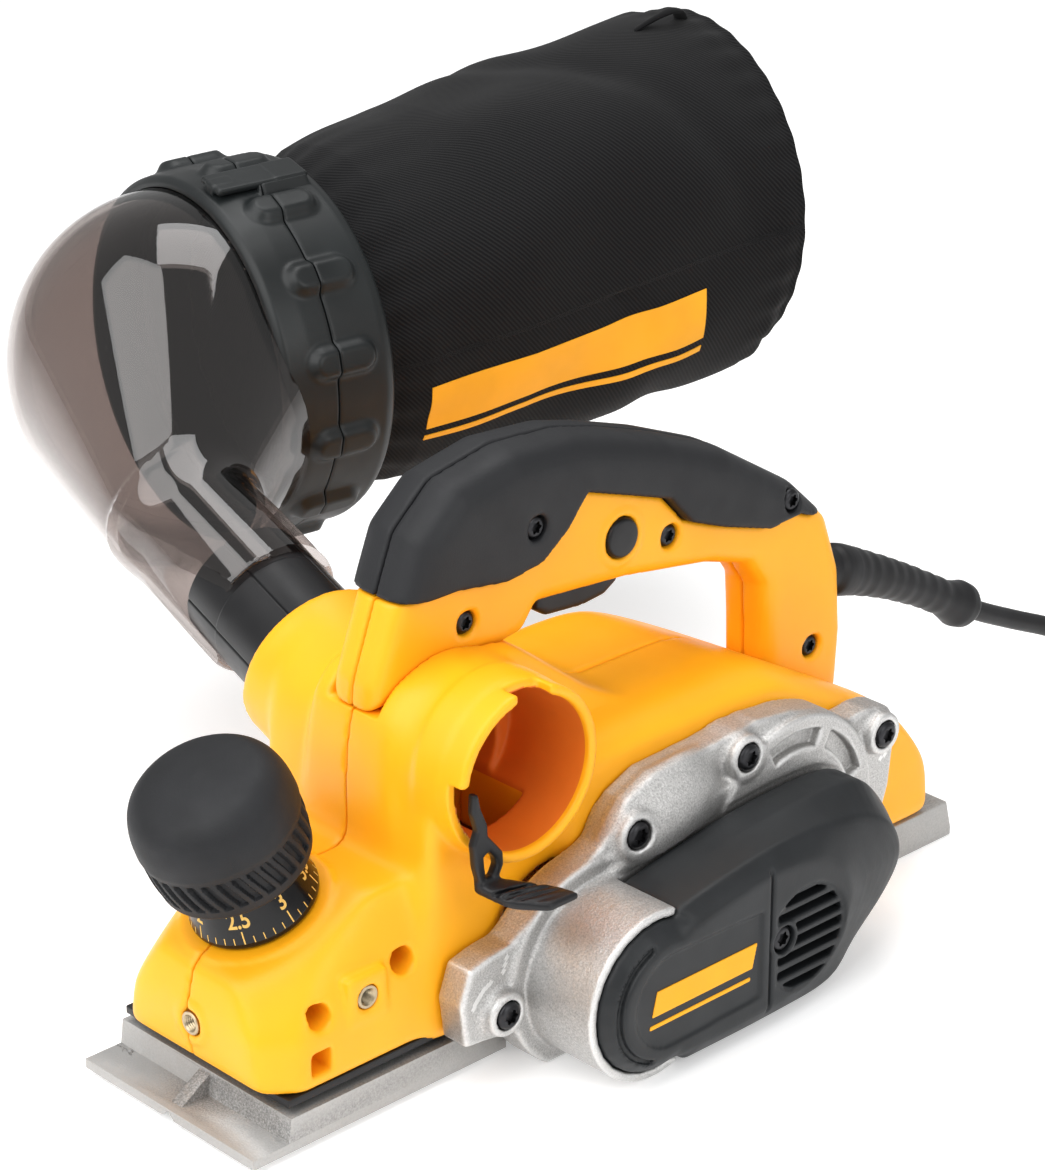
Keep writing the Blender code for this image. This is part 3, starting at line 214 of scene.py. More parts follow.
def arc(centre, radius, start, end, steps):
    """Points on a circle, from one angle to another in degrees."""
    points = []
    for i in range(steps + 1):
        a = math.radians(start + (end - start) * i / steps)
        points.append((centre[0] + radius * math.cos(a), centre[1] + radius * math.sin(a)))
    return points


def curved(points, steps):
    """A Catmull-Rom curve through the points, with some steps between each two."""
    pts = [Vector(p) for p in points]
    pts = [pts[0] * 2 - pts[1]] + pts + [pts[-1] * 2 - pts[-2]]
    line = []
    for a, b, c, d in zip(pts, pts[1:], pts[2:], pts[3:]):
        for i in range(steps):
            t = i / steps
            line.append(0.5 * ((2 * b) + (c - a) * t + (2 * a - 5 * b + 4 * c - d) * t * t
                               + (3 * b - a - 3 * c + d) * t ** 3))
    return line + [pts[-2]]


def x_ring(centre, radius, x, count=24):
    return [(x, y, z) for y, z in arc(centre, radius, 0, 360 - 360 / count, count - 1)]


def grown(outline, distance):
    """Move each corner of a counter-clockwise outline outwards by a distance."""
    result = []
    count = len(outline)
    for i in range(count):
        before, here = Vector(outline[i - 1]), Vector(outline[i])
        after = Vector(outline[(i + 1) % count])
        a, b = (here - before).normalized(), (after - here).normalized()
        na, nb = Vector((a.y, -a.x)), Vector((b.y, -b.x))
        mid = (na + nb).normalized()
        result.append(tuple(here + mid * (distance / max(0.4, mid.dot(na)))))
    return result


def skin(name, f):
    """Surface nets: one vertex in each grid cell that the surface crosses."""
    d = f.d
    inside = d < 0
    corners = [(i, j, k) for i in (0, 1) for j in (0, 1) for k in (0, 1)]
    shape = tuple(s - 1 for s in d.shape)
    count = np.zeros(shape, np.int8)
    for i, j, k in corners:
        count += inside[i:i + shape[0], j:j + shape[1], k:k + shape[2]]
    cells = np.argwhere((count > 0) & (count < 8))
    index = np.full(shape, -1, np.int64)
    index[cells[:, 0], cells[:, 1], cells[:, 2]] = np.arange(len(cells))
    total = np.zeros((len(cells), 3))
    hits = np.zeros(len(cells))
    for a in corners:
        for axis in range(3):
            if a[axis]:
                continue
            b = tuple(v + (1 if n == axis else 0) for n, v in enumerate(a))
            da = d[cells[:, 0] + a[0], cells[:, 1] + a[1], cells[:, 2] + a[2]]
            db = d[cells[:, 0] + b[0], cells[:, 1] + b[1], cells[:, 2] + b[2]]
            crossed = (da < 0) != (db < 0)
            t = np.where(crossed, da / np.where(crossed, da - db, 1.0), 0.0)
            place = np.tile(np.array(a, float), (len(cells), 1))
            place[:, axis] += t
            total[crossed] += place[crossed]
            hits += crossed
    points = (cells + total / hits[:, None]) * f.step + f.low
    faces = []
    for axis in range(3):
        u, v = (axis + 1) % 3, (axis + 2) % 3
        low, high = [slice(None)] * 3, [slice(None)] * 3
        low[axis], high[axis] = slice(0, -1), slice(1, None)
        a, b = inside[tuple(low)], inside[tuple(high)]
        edges = np.argwhere(a != b)
        ok = np.ones(len(edges), bool)
        for side in (u, v):
            ok &= (edges[:, side] > 0) & (edges[:, side] < d.shape[side] - 1)
        edges = edges[ok]
        solid_first = a[edges[:, 0], edges[:, 1], edges[:, 2]]
        quad = []
        for du, dv in ((-1, -1), (0, -1), (0, 0), (-1, 0)):
            c = edges.copy()
            c[:, u] += du
            c[:, v] += dv
            quad.append(index[c[:, 0], c[:, 1], c[:, 2]])
        quad = np.stack(quad, 1)
        quad[~solid_first] = quad[~solid_first][:, ::-1]
        faces.append(quad)
    return mesh_object(name, points, np.concatenate(faces))


def new_object(name, data):
    thing = bpy.data.objects.new(name, data)
    bpy.context.scene.collection.objects.link(thing)
    return thing


def mesh_object(name, points, faces, smooth=True):
    """A mesh object from points in millimetres and faces as index lists."""
    mesh = bpy.data.meshes.new(name)
    if isinstance(faces, np.ndarray):
        faces = faces.tolist()
    mesh.from_pydata((np.asarray(points, float) * MM).tolist(), [], faces)
    mesh.update()
    if smooth:
        mesh.shade_smooth()
    return new_object(name, mesh)


# ---------------------------------------------------------------- materials

CLEAR_INDEX = 1.62


def feed(tree, node, **inputs):
    """Set a node's inputs: a value is set, and the output of another node is linked."""
    for key, value in inputs.items():
        socket = node.inputs[key.replace("_", " ")]
        if isinstance(value, bpy.types.NodeSocket):
            tree.links.new(value, socket)
        else:
            socket.default_value = value


def place(tree, kind, **inputs):
    """Make a shader node and set its inputs."""
    node = tree.nodes.new("ShaderNode" + kind)
    feed(tree, node, **inputs)
    return node


def shader_of(name):
    mat = bpy.data.materials.new(name)
    mat.use_nodes = True
    return mat, mat.node_tree, mat.node_tree.nodes["Principled BSDF"]


def noise_at(tree, scale, detail=2, rough=0.5, stretch=None):
    """Noise in the model's own space. scale is in features per metre."""
    where = place(tree, "TexCoord").outputs["Object"]
    if stretch:
        where = place(tree, "Mapping", Vector=where, Scale=stretch).outputs["Vector"]
    return place(tree, "TexNoise", Vector=where, Scale=scale, Detail=detail,
                 Roughness=rough).outputs["Fac"]


def ramp(tree, source, low, high, start, end):
    """Map low..high of a value to start..end: colours when they have three parts."""
    if isinstance(start, tuple):
        node = place(tree, "ValToRGB", Fac=source)
        stops = node.color_ramp.elements
        for i, position, colour in ((0, low, start), (1, high, end)):
            stops[i].position = position
            stops[i].color = (*colour, 1)
        return node.outputs["Color"]
    return place(tree, "MapRange", Value=source, From_Min=low, From_Max=high, To_Min=start,
                 To_Max=end).outputs["Result"]


def bump(tree, shader, layers):
    """Stack bump layers: (height, strength, distance in millimetres)."""
    normal = {}
    for height, strength, distance in layers:
        node = place(tree, "Bump", Height=height, Strength=strength, Distance=distance * MM,
                     **normal)
        normal = {"Normal": node.outputs["Normal"]}
    feed(tree, shader, **normal)


def plastic(name, colour, roughness, grain, grain_height, shade=0.06):
    """Moulded plastic or rubber: fine spark-eroded grain, faint colour and gloss changes."""
    mat, tree, shader = shader_of(name)
    darker, lighter = [tuple(min(1, c * k) for c in colour) for k in (1 - shade, 1 + shade)]
    gloss = noise_at(tree, 90, 4)
    feed(tree, shader, Specular_IOR_Level=0.32,
         Base_Color=ramp(tree, noise_at(tree, 35, 3), 0.35, 0.65, darker, lighter),
         Roughness=ramp(tree, gloss, 0.3, 0.7, roughness - 0.05, roughness + 0.05))
    bump(tree, shader, [(noise_at(tree, grain, 2, 0.6), 0.35, grain_height)])
    return mat


def metal(name, colour, roughness, grain, grain_height, stretch=None):
    """Bare metal: grain, uneven gloss, and duller patches."""
    mat, tree, shader = shader_of(name)
    darker = tuple(c * 0.82 for c in colour)
    gloss = noise_at(tree, 400, 3, 0.6, stretch)
    feed(tree, shader, Metallic=1,
         Base_Color=ramp(tree, noise_at(tree, 120, 5, 0.6), 0.35, 0.65, darker, colour),
         Roughness=ramp(tree, gloss, 0.3, 0.7, roughness - 0.1, roughness + 0.1))
    bump(tree, shader, [(noise_at(tree, grain, 3, 0.65, stretch), 0.6, grain_height)])
    return mat


def cast_metal(name, dull, bright, edge_tone, rough):
    """Sand-cast aluminium: a coarse sugary grain, with a lighter colour on sharp outer edges."""
    mat, tree, shader = shader_of(name)
    speckle = noise_at(tree, 1500, 3, 0.7)
    pointiness = place(tree, "NewGeometry").outputs["Pointiness"]
    mix = place(tree, "Mix")
    mix.data_type = "RGBA"
    feed(tree, mix, Factor=ramp(tree, pointiness, 0.505, 0.56, 0, 1),
         A=ramp(tree, speckle, 0.3, 0.7, dull, bright), B=(*edge_tone, 1))
    feed(tree, shader, Metallic=1, Base_Color=mix.outputs["Result"],
         Roughness=ramp(tree, speckle, 0.3, 0.7, *rough))
    bump(tree, shader, [(noise_at(tree, 160), 0.3, 1), (noise_at(tree, 1300, 3, 0.7), 0.8, 0.25)])
    return mat


def smoked_clear():
    """Smoked clear plastic: tinted, with the same hard gloss on both sides of the wall."""
    mat, tree, shader = shader_of("smoked_clear")
    tree.nodes.remove(shader)
    backfacing = place(tree, "NewGeometry").outputs["Backfacing"]
    index = ramp(tree, backfacing, 0, 1, CLEAR_INDEX, 1 / CLEAR_INDEX)
    uneven = place(tree, "Bump", Height=noise_at(tree, 60, 4), Strength=0.05, Distance=0.4 * MM)
    share = place(tree, "Fresnel", IOR=index).outputs["Fac"]
    tint = place(tree, "BsdfTransparent", Color=(0.62, 0.57, 0.55, 1)).outputs["BSDF"]
    gloss = place(tree, "BsdfGlossy", Color=(1, 1, 1, 1), Roughness=0.03,
                  Normal=uneven.outputs["Normal"]).outputs["BSDF"]
    mix = place(tree, "MixShader")
    for socket, source in zip(mix.inputs, (share, tint, gloss)):
        tree.links.new(source, socket)
    feed(tree, tree.nodes["Material Output"], Surface=mix.outputs["Shader"])
    return mat


def twill(name, colour, thread):
    """Cotton twill: fine diagonal ribs, crossed by finer ones."""
    mat, tree, shader = shader_of(name)
    source = place(tree, "Attribute")
    source.attribute_name = "cloth"

    def ribs(pitch, turn):
        turned = place(tree, "Mapping", Vector=source.outputs["Vector"], Rotation=(0, 0, turn))
        return place(tree, "TexWave", Vector=turned.outputs["Vector"], Detail=1,
                     Scale=1 / (pitch * MM) / 3.1416, Distortion=0.4).outputs["Fac"]
    diagonal, cross = ribs(1.3, math.radians(52)), ribs(0.8, math.radians(-12))
    feed(tree, shader, Base_Color=ramp(tree, diagonal, 0.2, 0.9, colour, thread), Roughness=0.9,
         Specular_IOR_Level=0.12, Sheen_Weight=0.05, Sheen_Roughness=0.5)
    bump(tree, shader, [(noise_at(tree, 60, 3), 0.3, 0.8), (cross, 0.25, 0.08),
                        (diagonal, 0.5, 0.16)])
    return mat


MATS = {
    "yellow": plastic("moulded_yellow", (0.98, 0.42, 0.008), 0.4, 1400, 0.05, 0.03),
    # painted shade: a deeper yellow for the wall inside the chip port, where less light reaches
    "port": plastic("moulded_yellow_painted_shade", (0.74, 0.17, 0.015), 0.5, 900, 0.08),
    "grip": plastic("soft_grip", (0.011, 0.0115, 0.0132), 0.55, 1900, 0.16, 0.08),
    "knob": plastic("knob_rubber", (0.009, 0.0095, 0.011), 0.62, 2100, 0.16, 0.25),
    "black": plastic("moulded_black", (0.008, 0.008, 0.009), 0.38, 1500, 0.04, 0.2),
    "cover": plastic("cover_black", (0.012, 0.0135, 0.015), 0.46, 1500, 0.1, 0.2),
    "collar": plastic("collar_black", (0.01, 0.012, 0.0125), 0.4, 1200, 0.06, 0.2),
    "cord": plastic("cord_jacket", (0.009, 0.009, 0.01), 0.5, 900, 0.05, 0.2),
    "cast": cast_metal("cast_aluminium", (0.36, 0.355, 0.348), (0.64, 0.632, 0.62),
                       (0.78, 0.775, 0.765), (0.62, 0.42)),
    "rim": metal("machined_rim", (0.86, 0.85, 0.83), 0.26, 900, 0.03),
    "shoe": cast_metal("planed_shoe", (0.24, 0.236, 0.23), (0.5, 0.492, 0.48),
                       (0.52, 0.512, 0.5), (0.8, 0.62)),
    "steel": metal("ground_steel", (0.62, 0.62, 0.63), 0.28, 1500, 0.02, (1, 12, 12)),
    "brass": metal("insert_brass", (0.5, 0.41, 0.27), 0.34, 900, 0.03),
    "copper": metal("winding_copper", (0.72, 0.36, 0.18), 0.38, 1600, 0.15, (0.1, 1, 1)),
    "screw": metal("black_oxide", (0.045, 0.045, 0.048), 0.38, 1500, 0.03),
    "carbon": plastic("pressed_carbon", (0.03, 0.03, 0.03), 0.6, 2500, 0.05),
    "gold": plastic("printed_gold", (0.8, 0.5, 0.12), 0.45, 1500, 0.02),
    "dial": plastic("dial_lacquer", (0.004, 0.004, 0.0045), 0.2, 1200, 0.02, 0.2),
    "print": plastic("printed_yellow", (0.9, 0.4, 0.01), 0.6, 1300, 0.12, 0.06),
    "cloth": twill("bag_twill", (0.0045, 0.0045, 0.005), (0.013, 0.013, 0.0135)),
    "clear": smoked_clear(),
}


def dress(thing, *looks):
    thing.data.materials.clear()
    for look in looks:
        thing.data.materials.append(MATS[look])


def finish(thing, looks, body, slot, *nodes):
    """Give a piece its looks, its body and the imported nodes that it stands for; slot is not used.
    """
    dress(thing, *looks.split())
    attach(thing, body)
    if nodes:
        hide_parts(*nodes)
    return thing


# ---------------------------------------------------------------- housing

HANDLE_OUTLINE = [(-83, 116), (-70, 117), (-55, 120), (-40, 122), (-28, 122.5), (-18, 124),
                  (-12, 132), (27, 128.5), (66, 122), (85, 116), (92, 106), (93, 92), (94, 64),
                  (113, 56), (132.5, 54), (134, 78), (132, 102), (124.5, 123), (105.5, 141),
                  (72, 162), (44, 173.5), (20, 181.5), (2.6, 186), (-24, 188), (-50, 183),
                  (-65, 170), (-70.5, 156), (-76.5, 140), (-82, 125)]
GRIP_EDGE = [(-70, 150), (-50.5, 150), (-30, 146.8), (-15, 149), (-4, 157), (4.5, 167), (22, 161),
             (42, 154), (52, 143), (68, 136.5), (90, 129.5), (105, 130.5), (113, 127), (122, 126)]
CASTING_OUTLINE = [(-85, 19), (-40, 14.6), (-6, 14.6), (92, 14.6), (104, 24), (110, 42), (112, 60),
                   (108, 72), (98, 74), (88, 73), (76, 81), (60, 86), (44, 88), (20, 86), (-4, 85),
                   (-16, 80), (-26, 68), (-40, 61), (-54, 55), (-66, 48), (-75, 47), (-83, 45),
                   (-87, 34)]
CASTING_SCREWS = [(-71, 27), (-15, 69.5), (35, 79.5), (102, 65)]
HANDLE_SCREWS = [(-17.6, 161.5, GRIP_HALF), (46.4, 138.5, HANDLE_HALF), (101, 136.5, GRIP_HALF),
                 (-43.6, 135.6, HANDLE_HALF), (117, 76.6, HANDLE_HALF)]


def housing_field():
    f = Field((-64, -156, 10), (56, 154, 136), 1.1)
    front = [(-41, -139, 19.3), (41, -141, 19.3), (-30, -150, 19.3), (33, -150, 19.3),
             (-41, -60, 19.3), (41, -60, 19.3), (-39, -132, 38), (41, -138, 38), (-26, -151.5, 38),
             (31, -151.5, 38), (-34, -126, 47), (38, -134, 47), (-41, -60, 44), (41, -60, 44),
             (-17, -148, 52), (21, -148, 52), (-26, -134, 55), (29, -136, 55), (-30, -104, 70.6),
             (30, -104, 70.6), (-34, -60, 72), (34, -60, 72)]
    barrel_r = DUCT_R + DUCT_WALL
    middle = [(x, y, SHELL_FLOOR) for x in (-49, 42.4) for y in (-88, -8)]
    middle += x_ring(DUCT, barrel_r + 1, 41, 32) + x_ring((-51.5, 94.5), barrel_r, -46, 32)
    middle += [(-49, -88, 48), (42.4, -88, 48)]
    rear = []
    for x, drop, pull in ((34, 0, 0), (42.4, 5, 1)):
        rear += [(x, -30, SHELL_FLOOR), (x, 149 - pull, SHELL_FLOOR), (x, 147.5 - pull, 36),
                 (x, 139 - pull, 47 - drop / 2), (x, 131.5 - pull, 60 - drop),
                 (x, 67, 96 - drop), (x, -25, 97.5 - drop), (x, -30, 97.5 - drop)]
    for x, drop, pull in ((-48, 12, 8), (-38, 0, 2)):
        rear += [(x, -30, SHELL_FLOOR), (x, 149 - pull, SHELL_FLOOR), (x, 147 - pull, 34 - drop),
                 (x, 131 - pull, 55 - drop), (x, 82, 83.5 - drop), (x, 50, 98 - drop),
                 (x, -30, 98 - drop)]
    neck = [(x, y, z) for x in (-20, 20)
            for y, z in ((-86, 94), (-83, 117), (-74, 126), (-30, 127), (-20, 96), (10, 96),
                         (-80, 60), (0, 60))]
    f.d = hull(f, front, 0.8)
    f.add(hull(f, middle, 1.5), 7)
    f.add(hull(f, rear, 1.6), 7)
    f.add(hull(f, neck, 1.6), 7)
    f.add(rod(f, PIPE_MOUTH - PIPE_DIR * 34, PIPE_MOUTH, barrel_r, 1.5), 6)
    f.smooth(3)
    f.add(x_rod(f, DUCT, barrel_r - 0.5, 6, 40, 1.2), 2.5)
    f.add(x_rod(f, DUCT, barrel_r, 30, 51.3, 1.2), 2.5)
    return f


def add_front_details(f):
    """Boss and pad of the fence threads, screw wells, the square hole and the dial's seat."""
    f.add(rod(f, (2, -138, 33), (2, -151.3, 33), 7.2, 1), 1.5)
    f.add(box(f, (34, -121, 35), (41.2, -105, 51), 1.2), 1.2)
    f.cut(rod(f, (2, -160, 33), (2, -138, 33), 4.2))
    f.cut(x_rod(f, (-113, 43), 4.2, 28, 50))
    f.cut(box(f, (30, -136, 24), (50, -128, 32), 0.6))
    f.cut(x_rod(f, (-130.6, 42), 4.2, 15, 50), 0.6)
    f.cut(x_rod(f, (-97, 48.5), 4.4, 15, 50))
    f.add(rod(f, KNOB_BASE - KNOB_DIR * 9, KNOB_BASE - KNOB_DIR * 0.2, 24.6, 1), 2)
    f.cut(rod(f, KNOB_BASE, KNOB_BASE + KNOB_DIR * 40, 27))


def cut_housing_rooms(f):
    """Rooms for the drum, ducts, motor, knob, shoes, lever, handle, casting and screws."""
    f.cut(x_rod(f, DRUM, CUT_R + 2.2, -43.2, 60))
    f.cut(box(f, (-30, -60, 40), (30, -38, 100)))
    f.cut(x_rod(f, DUCT, DUCT_R, 15, 60), 0.6)
    f.cut(x_rod(f, (DUCT[0], 96), 20, -24, 16))
    f.cut(rod(f, PIPE_MOUTH - PIPE_DIR * 46, PIPE_MOUTH + PIPE_DIR * 5, DUCT_R))
    f.cut(box(f, (44, -60, 120), (60, -46, 134), 0.8))
    f.cut(x_rod(f, MOTOR, MOTOR_R, -38, 60))
    f.cut(x_rod(f, MOTOR, 12.3, -46, -30))
    f.cut(x_rod(f, DRUM, 13.3, -47.7, -40))
    f.add(x_rod(f, DRUM, 16.5, -49.5, -47.7, 0.5))
    foot = KNOB_BASE - KNOB_DIR * 70
    f.cut(rod(f, foot, KNOB_BASE - KNOB_DIR * 23.5, 9.6))
    f.cut(rod(f, foot, KNOB_BASE - KNOB_DIR * 12, 7.6))
    f.cut(rod(f, foot, KNOB_BASE + KNOB_DIR * 20, 4.4))
    f.cut(box(f, (-39.8, -144.8, 8), (39.8, -61.7, 19.29)))
    f.cut(box(f, (-41.5, -95, 10), (41.5, -55, 16.1)))
    lever_room = [(-86, 70), (-70, 70), (-70, 92), (-75, 106), (-86, 106)]
    f.cut(prism(f, lever_room, 45, 60))
    f.cut(prism(f, grown(HANDLE_OUTLINE, GAP), -HANDLE_HALF - GAP, HANDLE_HALF + GAP))
    for centre in CASTING_SCREWS:
        f.cut(x_rod(f, centre, 2.8, 32, 60))
    f.cut(prism(f, grown(CASTING_OUTLINE, 0.4), FACE_X - 0.3, 70))
    f.cut(x_rod(f, DRUM, 35.4, FACE_X - 0.25, 72))
    f.cut(box(f, (-34.5, -140, 6), (-13.5, -93, 36)))
    f.cut(box(f, (13.5, -142, 6), (24, -93, 35.5)))
    f.cut(box(f, (-42, 98, 6), (37, 138, 28)))
    f.cut(box(f, (-41, 96, 26), (37, 124, 46)))
    f.keep(SHELL_FLOOR - f.z)


def build_housing():
    f = housing_field()
    add_front_details(f)
    cut_housing_rooms(f)
    for sign, name in ((1, "housing_left"), (-1, "housing_right")):
        shell = skin("shell_" + name, f.side(sign, 0.2))
        # the second look is painted shade on the chip port's inner wall
        finish(shell, "yellow port", "frame", "yellow_plastic", name)
        paint_port_shade(shell)


def paint_port_shade(shell):
    """The rougher wall inside the chip port, in a deeper yellow that is painted shade."""
    for face in shell.data.polygons:
        c = face.center / MM
        across = math.hypot(c.y - DUCT[0], c.z - DUCT[1])
        if across < DUCT_R + 0.7 and -20 < c.x < 49:
            face.material_index = 1


# ---------------------------------------------------------------- handle

def handle_base(half, edge):
    """The handle's outline at one thickness, before its parts are divided."""
    f = Field((-18, -88, 50), (18, 139, 192), 1)
    f.d = prism(f, HANDLE_OUTLINE, -half, half, edge)
    return f


def cut_handle_rooms(f):
    """Rooms for the trigger, the lock button, the cord guard and the screws."""
    f.cut(box(f, (-7.5, -11, 118), (7.5, 36, 153.5)))
    f.cut(x_rod(f, (23.4, 145), 7.2, 0, 30))
    f.cut(rod(f, (0, 118, 102.4), (0, 150, 91.9), 8.2))
    for y, z, side in HANDLE_SCREWS:
        f.cut(x_rod(f, (y, z), 1.9, -8, side - 2))
        f.cut(x_rod(f, (y, z), 4.3, side - 3.7, 30), 0.5)


def build_handle():
    region = GRIP_EDGE + [(150, 126), (150, 230), (-110, 230), (-110, 150)]
    shell = handle_base(HANDLE_HALF, 7)
    shell.smooth(2)
    shell.add(x_rod(shell, (23.4, 145), 9.6, 0, HANDLE_HALF + 0.3, 1), 1.5)
    upper = outline_distance(shell, region)
    shell.cut(upper - GAP / 2)
    cut_handle_rooms(shell)
    grip = handle_base(GRIP_HALF, 11)
    grip.smooth(3)
    grip.keep(outline_distance(grip, region) + GAP / 2, 1)
    cut_handle_rooms(grip)
    for f, kind, look, slot in ((shell, "handle", "yellow", "yellow_plastic"),
                                (grip, "grip", "grip", "black_rubber")):
        for sign, name in ((1, kind + "_left"), (-1, kind + "_right")):
            finish(skin("shell_" + name, f.side(sign, 0.15)), look, "frame", slot, name)


# ---------------------------------------------------------------- belt side

COVER_END = 25.8
COVER_BASE = [(-20, 1.2), (30, 1), (58, 2), (75, 11.5), (87.5, 23), (92, 36), (86, 50), (74, 63),
              (56, 66), (30, 65), (5, 62), (-21.5, 57.2), (-23.3, 54.7)]
COVER_SHOULDER = [(-20, 1.6), (20, 1.6), (48, 3.4), (60, 14.5), (74, 26.5), (81, 37), (78, 48),
                  (66, 57), (50, 61), (28, 63), (5, 61.5), (-21.5, 57), (-23.3, 54.7)]
COVER_FACE = [(-20, 7.4), (10, 7.4), (33, 10.5), (46, 20), (52, 31), (52.5, 39), (49.5, 46.5),
              (42, 52), (35, 55.5), (20, 57.5), (5, 57), (-21, 52.5), (-23, 51.5)]
COVER_SCREW = (20.3, 31)
VENT_MID = (31, 28)
VENT_R = 18.6


def cover_outline(rear, end_radius):
    """A level of the cover: a smooth rear part and a round front end on the drum's axis."""
    low = (rear[-1][0], 2 * DRUM[1] - rear[-1][1])
    return [tuple(p) for p in curved(rear, 4)] + arc(DRUM, end_radius, 75, 285, 14) + [low]


def build_casting():
    f = Field((40, -92, -2), (88, 118, 94), 0.7)
    f.d = prism(f, CASTING_OUTLINE, FACE_X, 54, 1.2)
    f.add(x_rod(f, DRUM, 35, FACE_X, 55.2, 1), 2)
    f.add(x_rod(f, MOTOR, 37, FACE_X, 58, 1.2), 2.5)
    web = x_ring(DRUM, 27.7, FACE_X) + x_ring(DRUM, 27.7, 57.1)
    web += x_ring(MOTOR, 30.3, FACE_X) + x_ring(MOTOR, 30.3, 57.1)
    f.add(hull(f, web, 0.5), 2)
    bulge = []
    for x, r in ((50, 19), (56, 17), (60.3, 12), (62.3, 6)):
        for c in (-8, 10):
            bulge += x_ring((c, 64 + (c + 8) * 0.35), r, x, 20)
    f.add(hull(f, bulge, 1.2), 3)
    for y, z in CASTING_SCREWS:
        f.add(x_rod(f, (y, z), 7.5, FACE_X, 58.5, 1.2), 2.5)
    f.smooth(1)
    f.add(x_rod(f, DRUM, 29, FACE_X, 84, 0.6), 1.2)
    f.cut(prism(f, grown(cover_outline(COVER_BASE, COVER_END), 0.5), 57.63, 92))
    f.cut(x_rod(f, DRUM, 13.2, 30, 70))
    f.cut(x_rod(f, MOTOR, 12.2, 30, 70))
    for y, z in CASTING_SCREWS:
        f.cut(x_rod(f, (y, z), 2.8, 30, 70))
        f.cut(x_rod(f, (y, z), 5, 55.5, 70), 0.5)
    for start in (16, 70):
        slot = arc(MOTOR, 32, start, start + 44, 8) + arc(MOTOR, 26, start + 44, start, 8)
        f.cut(prism(f, slot, 54.5, 62), 0.8)
    f.cut(x_rod(f, COVER_SCREW, 2.4, 45, 70))
    f.keep(FACE_X - f.x)
    f.keep(0.6 - f.z)
    finish(skin("cast_side_frame", f), "cast", "frame", "cast_aluminium", "belt_side_casting")


def cover_field():
    f = Field((57, -62, -1), (91.5, 95, 70), 0.7)
    levels = ((58.8, COVER_BASE, COVER_END), (72, COVER_BASE, COVER_END),
              (84.5, COVER_SHOULDER, COVER_END), (89.6, COVER_FACE, COVER_END - 5))
    sides = [outline_distance(f, cover_outline(rear, end)) for _, rear, end in levels]
    xs = f.x[:, 0, 0]
    body = np.empty_like(f.d)
    for i, x in enumerate(xs):
        level = min(max(sum(x >= lv[0] for lv in levels) - 1, 0), len(levels) - 2)
        share = (x - levels[level][0]) / (levels[level + 1][0] - levels[level][0])
        share = min(max(share, 0), 1)
        body[i] = sides[level][0] * (1 - share) + sides[level + 1][0] * share
    f.d = -soft_min(-body, -between(f, levels[0][0], levels[-1][0]), 3)
    f.smooth(2)
    f.keep(levels[0][0] - f.x)
    return f


def build_cover():
    f = cover_field()
    face = 89.4
    label = arc((-30, 29.5), 16.5, 90, 270, 16) + [(10, 14.5), (10, 45)]
    f.cut(prism(f, label, face - 0.8, 95, 0.3), 0.4)
    line = [(13.4, 0), (14.5, 0), (14.5, 70), (13.4, 70)]
    f.cut(prism(f, line, face - 1.4, 95))
    groove = np.abs(x_distance(f, DRUM) - 20.6) - 0.9
    f.cut(np.maximum(groove, np.maximum(f.y + 38, face - 2.4 - f.x)), 0.8)
    vents = np.maximum(x_distance(f, VENT_MID) - VENT_R, VENT_MID[0] - 14 - f.y)
    f.cut(np.maximum(vents, face - 0.7 - f.x), 0.5)
    vents = np.maximum(x_distance(f, VENT_MID) - VENT_R + 1.2, VENT_MID[0] - 12.5 - f.y)
    for i in range(7):
        z = VENT_MID[1] + 5.1 * (i - 3)
        slot = np.maximum(np.abs(f.z - z) - 1.45, vents)
        f.cut(np.maximum(slot, 83 - f.x), 0.4)
    f.add(x_rod(f, COVER_SCREW, 6.4, 60, face + 0.1, 0.8), 0.6)
    stadium = x_ring(DRUM, 20, 50) + x_ring(DRUM, 20, 82)
    stadium += x_ring(MOTOR, 13, 50) + x_ring(MOTOR, 12, 78)
    f.cut(hull(f, stadium, 0))
    f.cut(x_rod(f, COVER_SCREW, 2.4, 50, 95))
    f.cut(x_rod(f, COVER_SCREW, 4.9, 84, 95), 0.4)
    finish(skin("cover_shell", f), "cover", "frame", "cover_plastic", "belt_cover")
    for name, low, high in (("cover_band_wide", 26, 34.5), ("cover_band_thin", 21.8, 23.2)):
        band = raised_band(name, low, high, face - 0.9)
        finish(band, "print", "frame", "yellow_plastic")


def raised_band(name, low, high, x):
    """A plain leaning bar printed on the cover's label field."""
    f = Field((x - 1, -44, 18), (x + 2, 12, 38), 0.35)
    bar = [(end + 0.25 * (z - 22), z)
           for end, z in ((-40, low), (5, low), (5, high), (-40, high))]
    f.d = prism(f, bar, x - 0.4, x + 0.45, 0.15)
    return skin(name, f)


# ---------------------------------------------------------------- stage

CAMERA_AZIMUTH, CAMERA_ELEVATION = 46.41, 23.92
CAMERA_LENS = 115.16
CAMERA_PLACE = (0.787, -0.759, 0.617)


def build_camera():
    """The camera stands to the front left of the machine and looks down at it."""
    azimuth, elevation = math.radians(CAMERA_AZIMUTH), math.radians(CAMERA_ELEVATION)
    back = Vector((math.sin(azimuth) * math.cos(elevation),
                   -math.cos(azimuth) * math.cos(elevation), math.sin(elevation)))
    right = Vector((math.cos(azimuth), math.sin(azimuth), 0))
    up = back.cross(right)
    data = bpy.data.cameras.new("camera")
    data.sensor_width = 36
    data.lens = CAMERA_LENS
    data.clip_start, data.clip_end = 0.01, 20
    camera = new_object("camera", data)
    turn = Matrix((right, up, back)).transposed().to_4x4()
    camera.matrix_world = Matrix.Translation(CAMERA_PLACE) @ turn
    bpy.context.scene.camera = camera


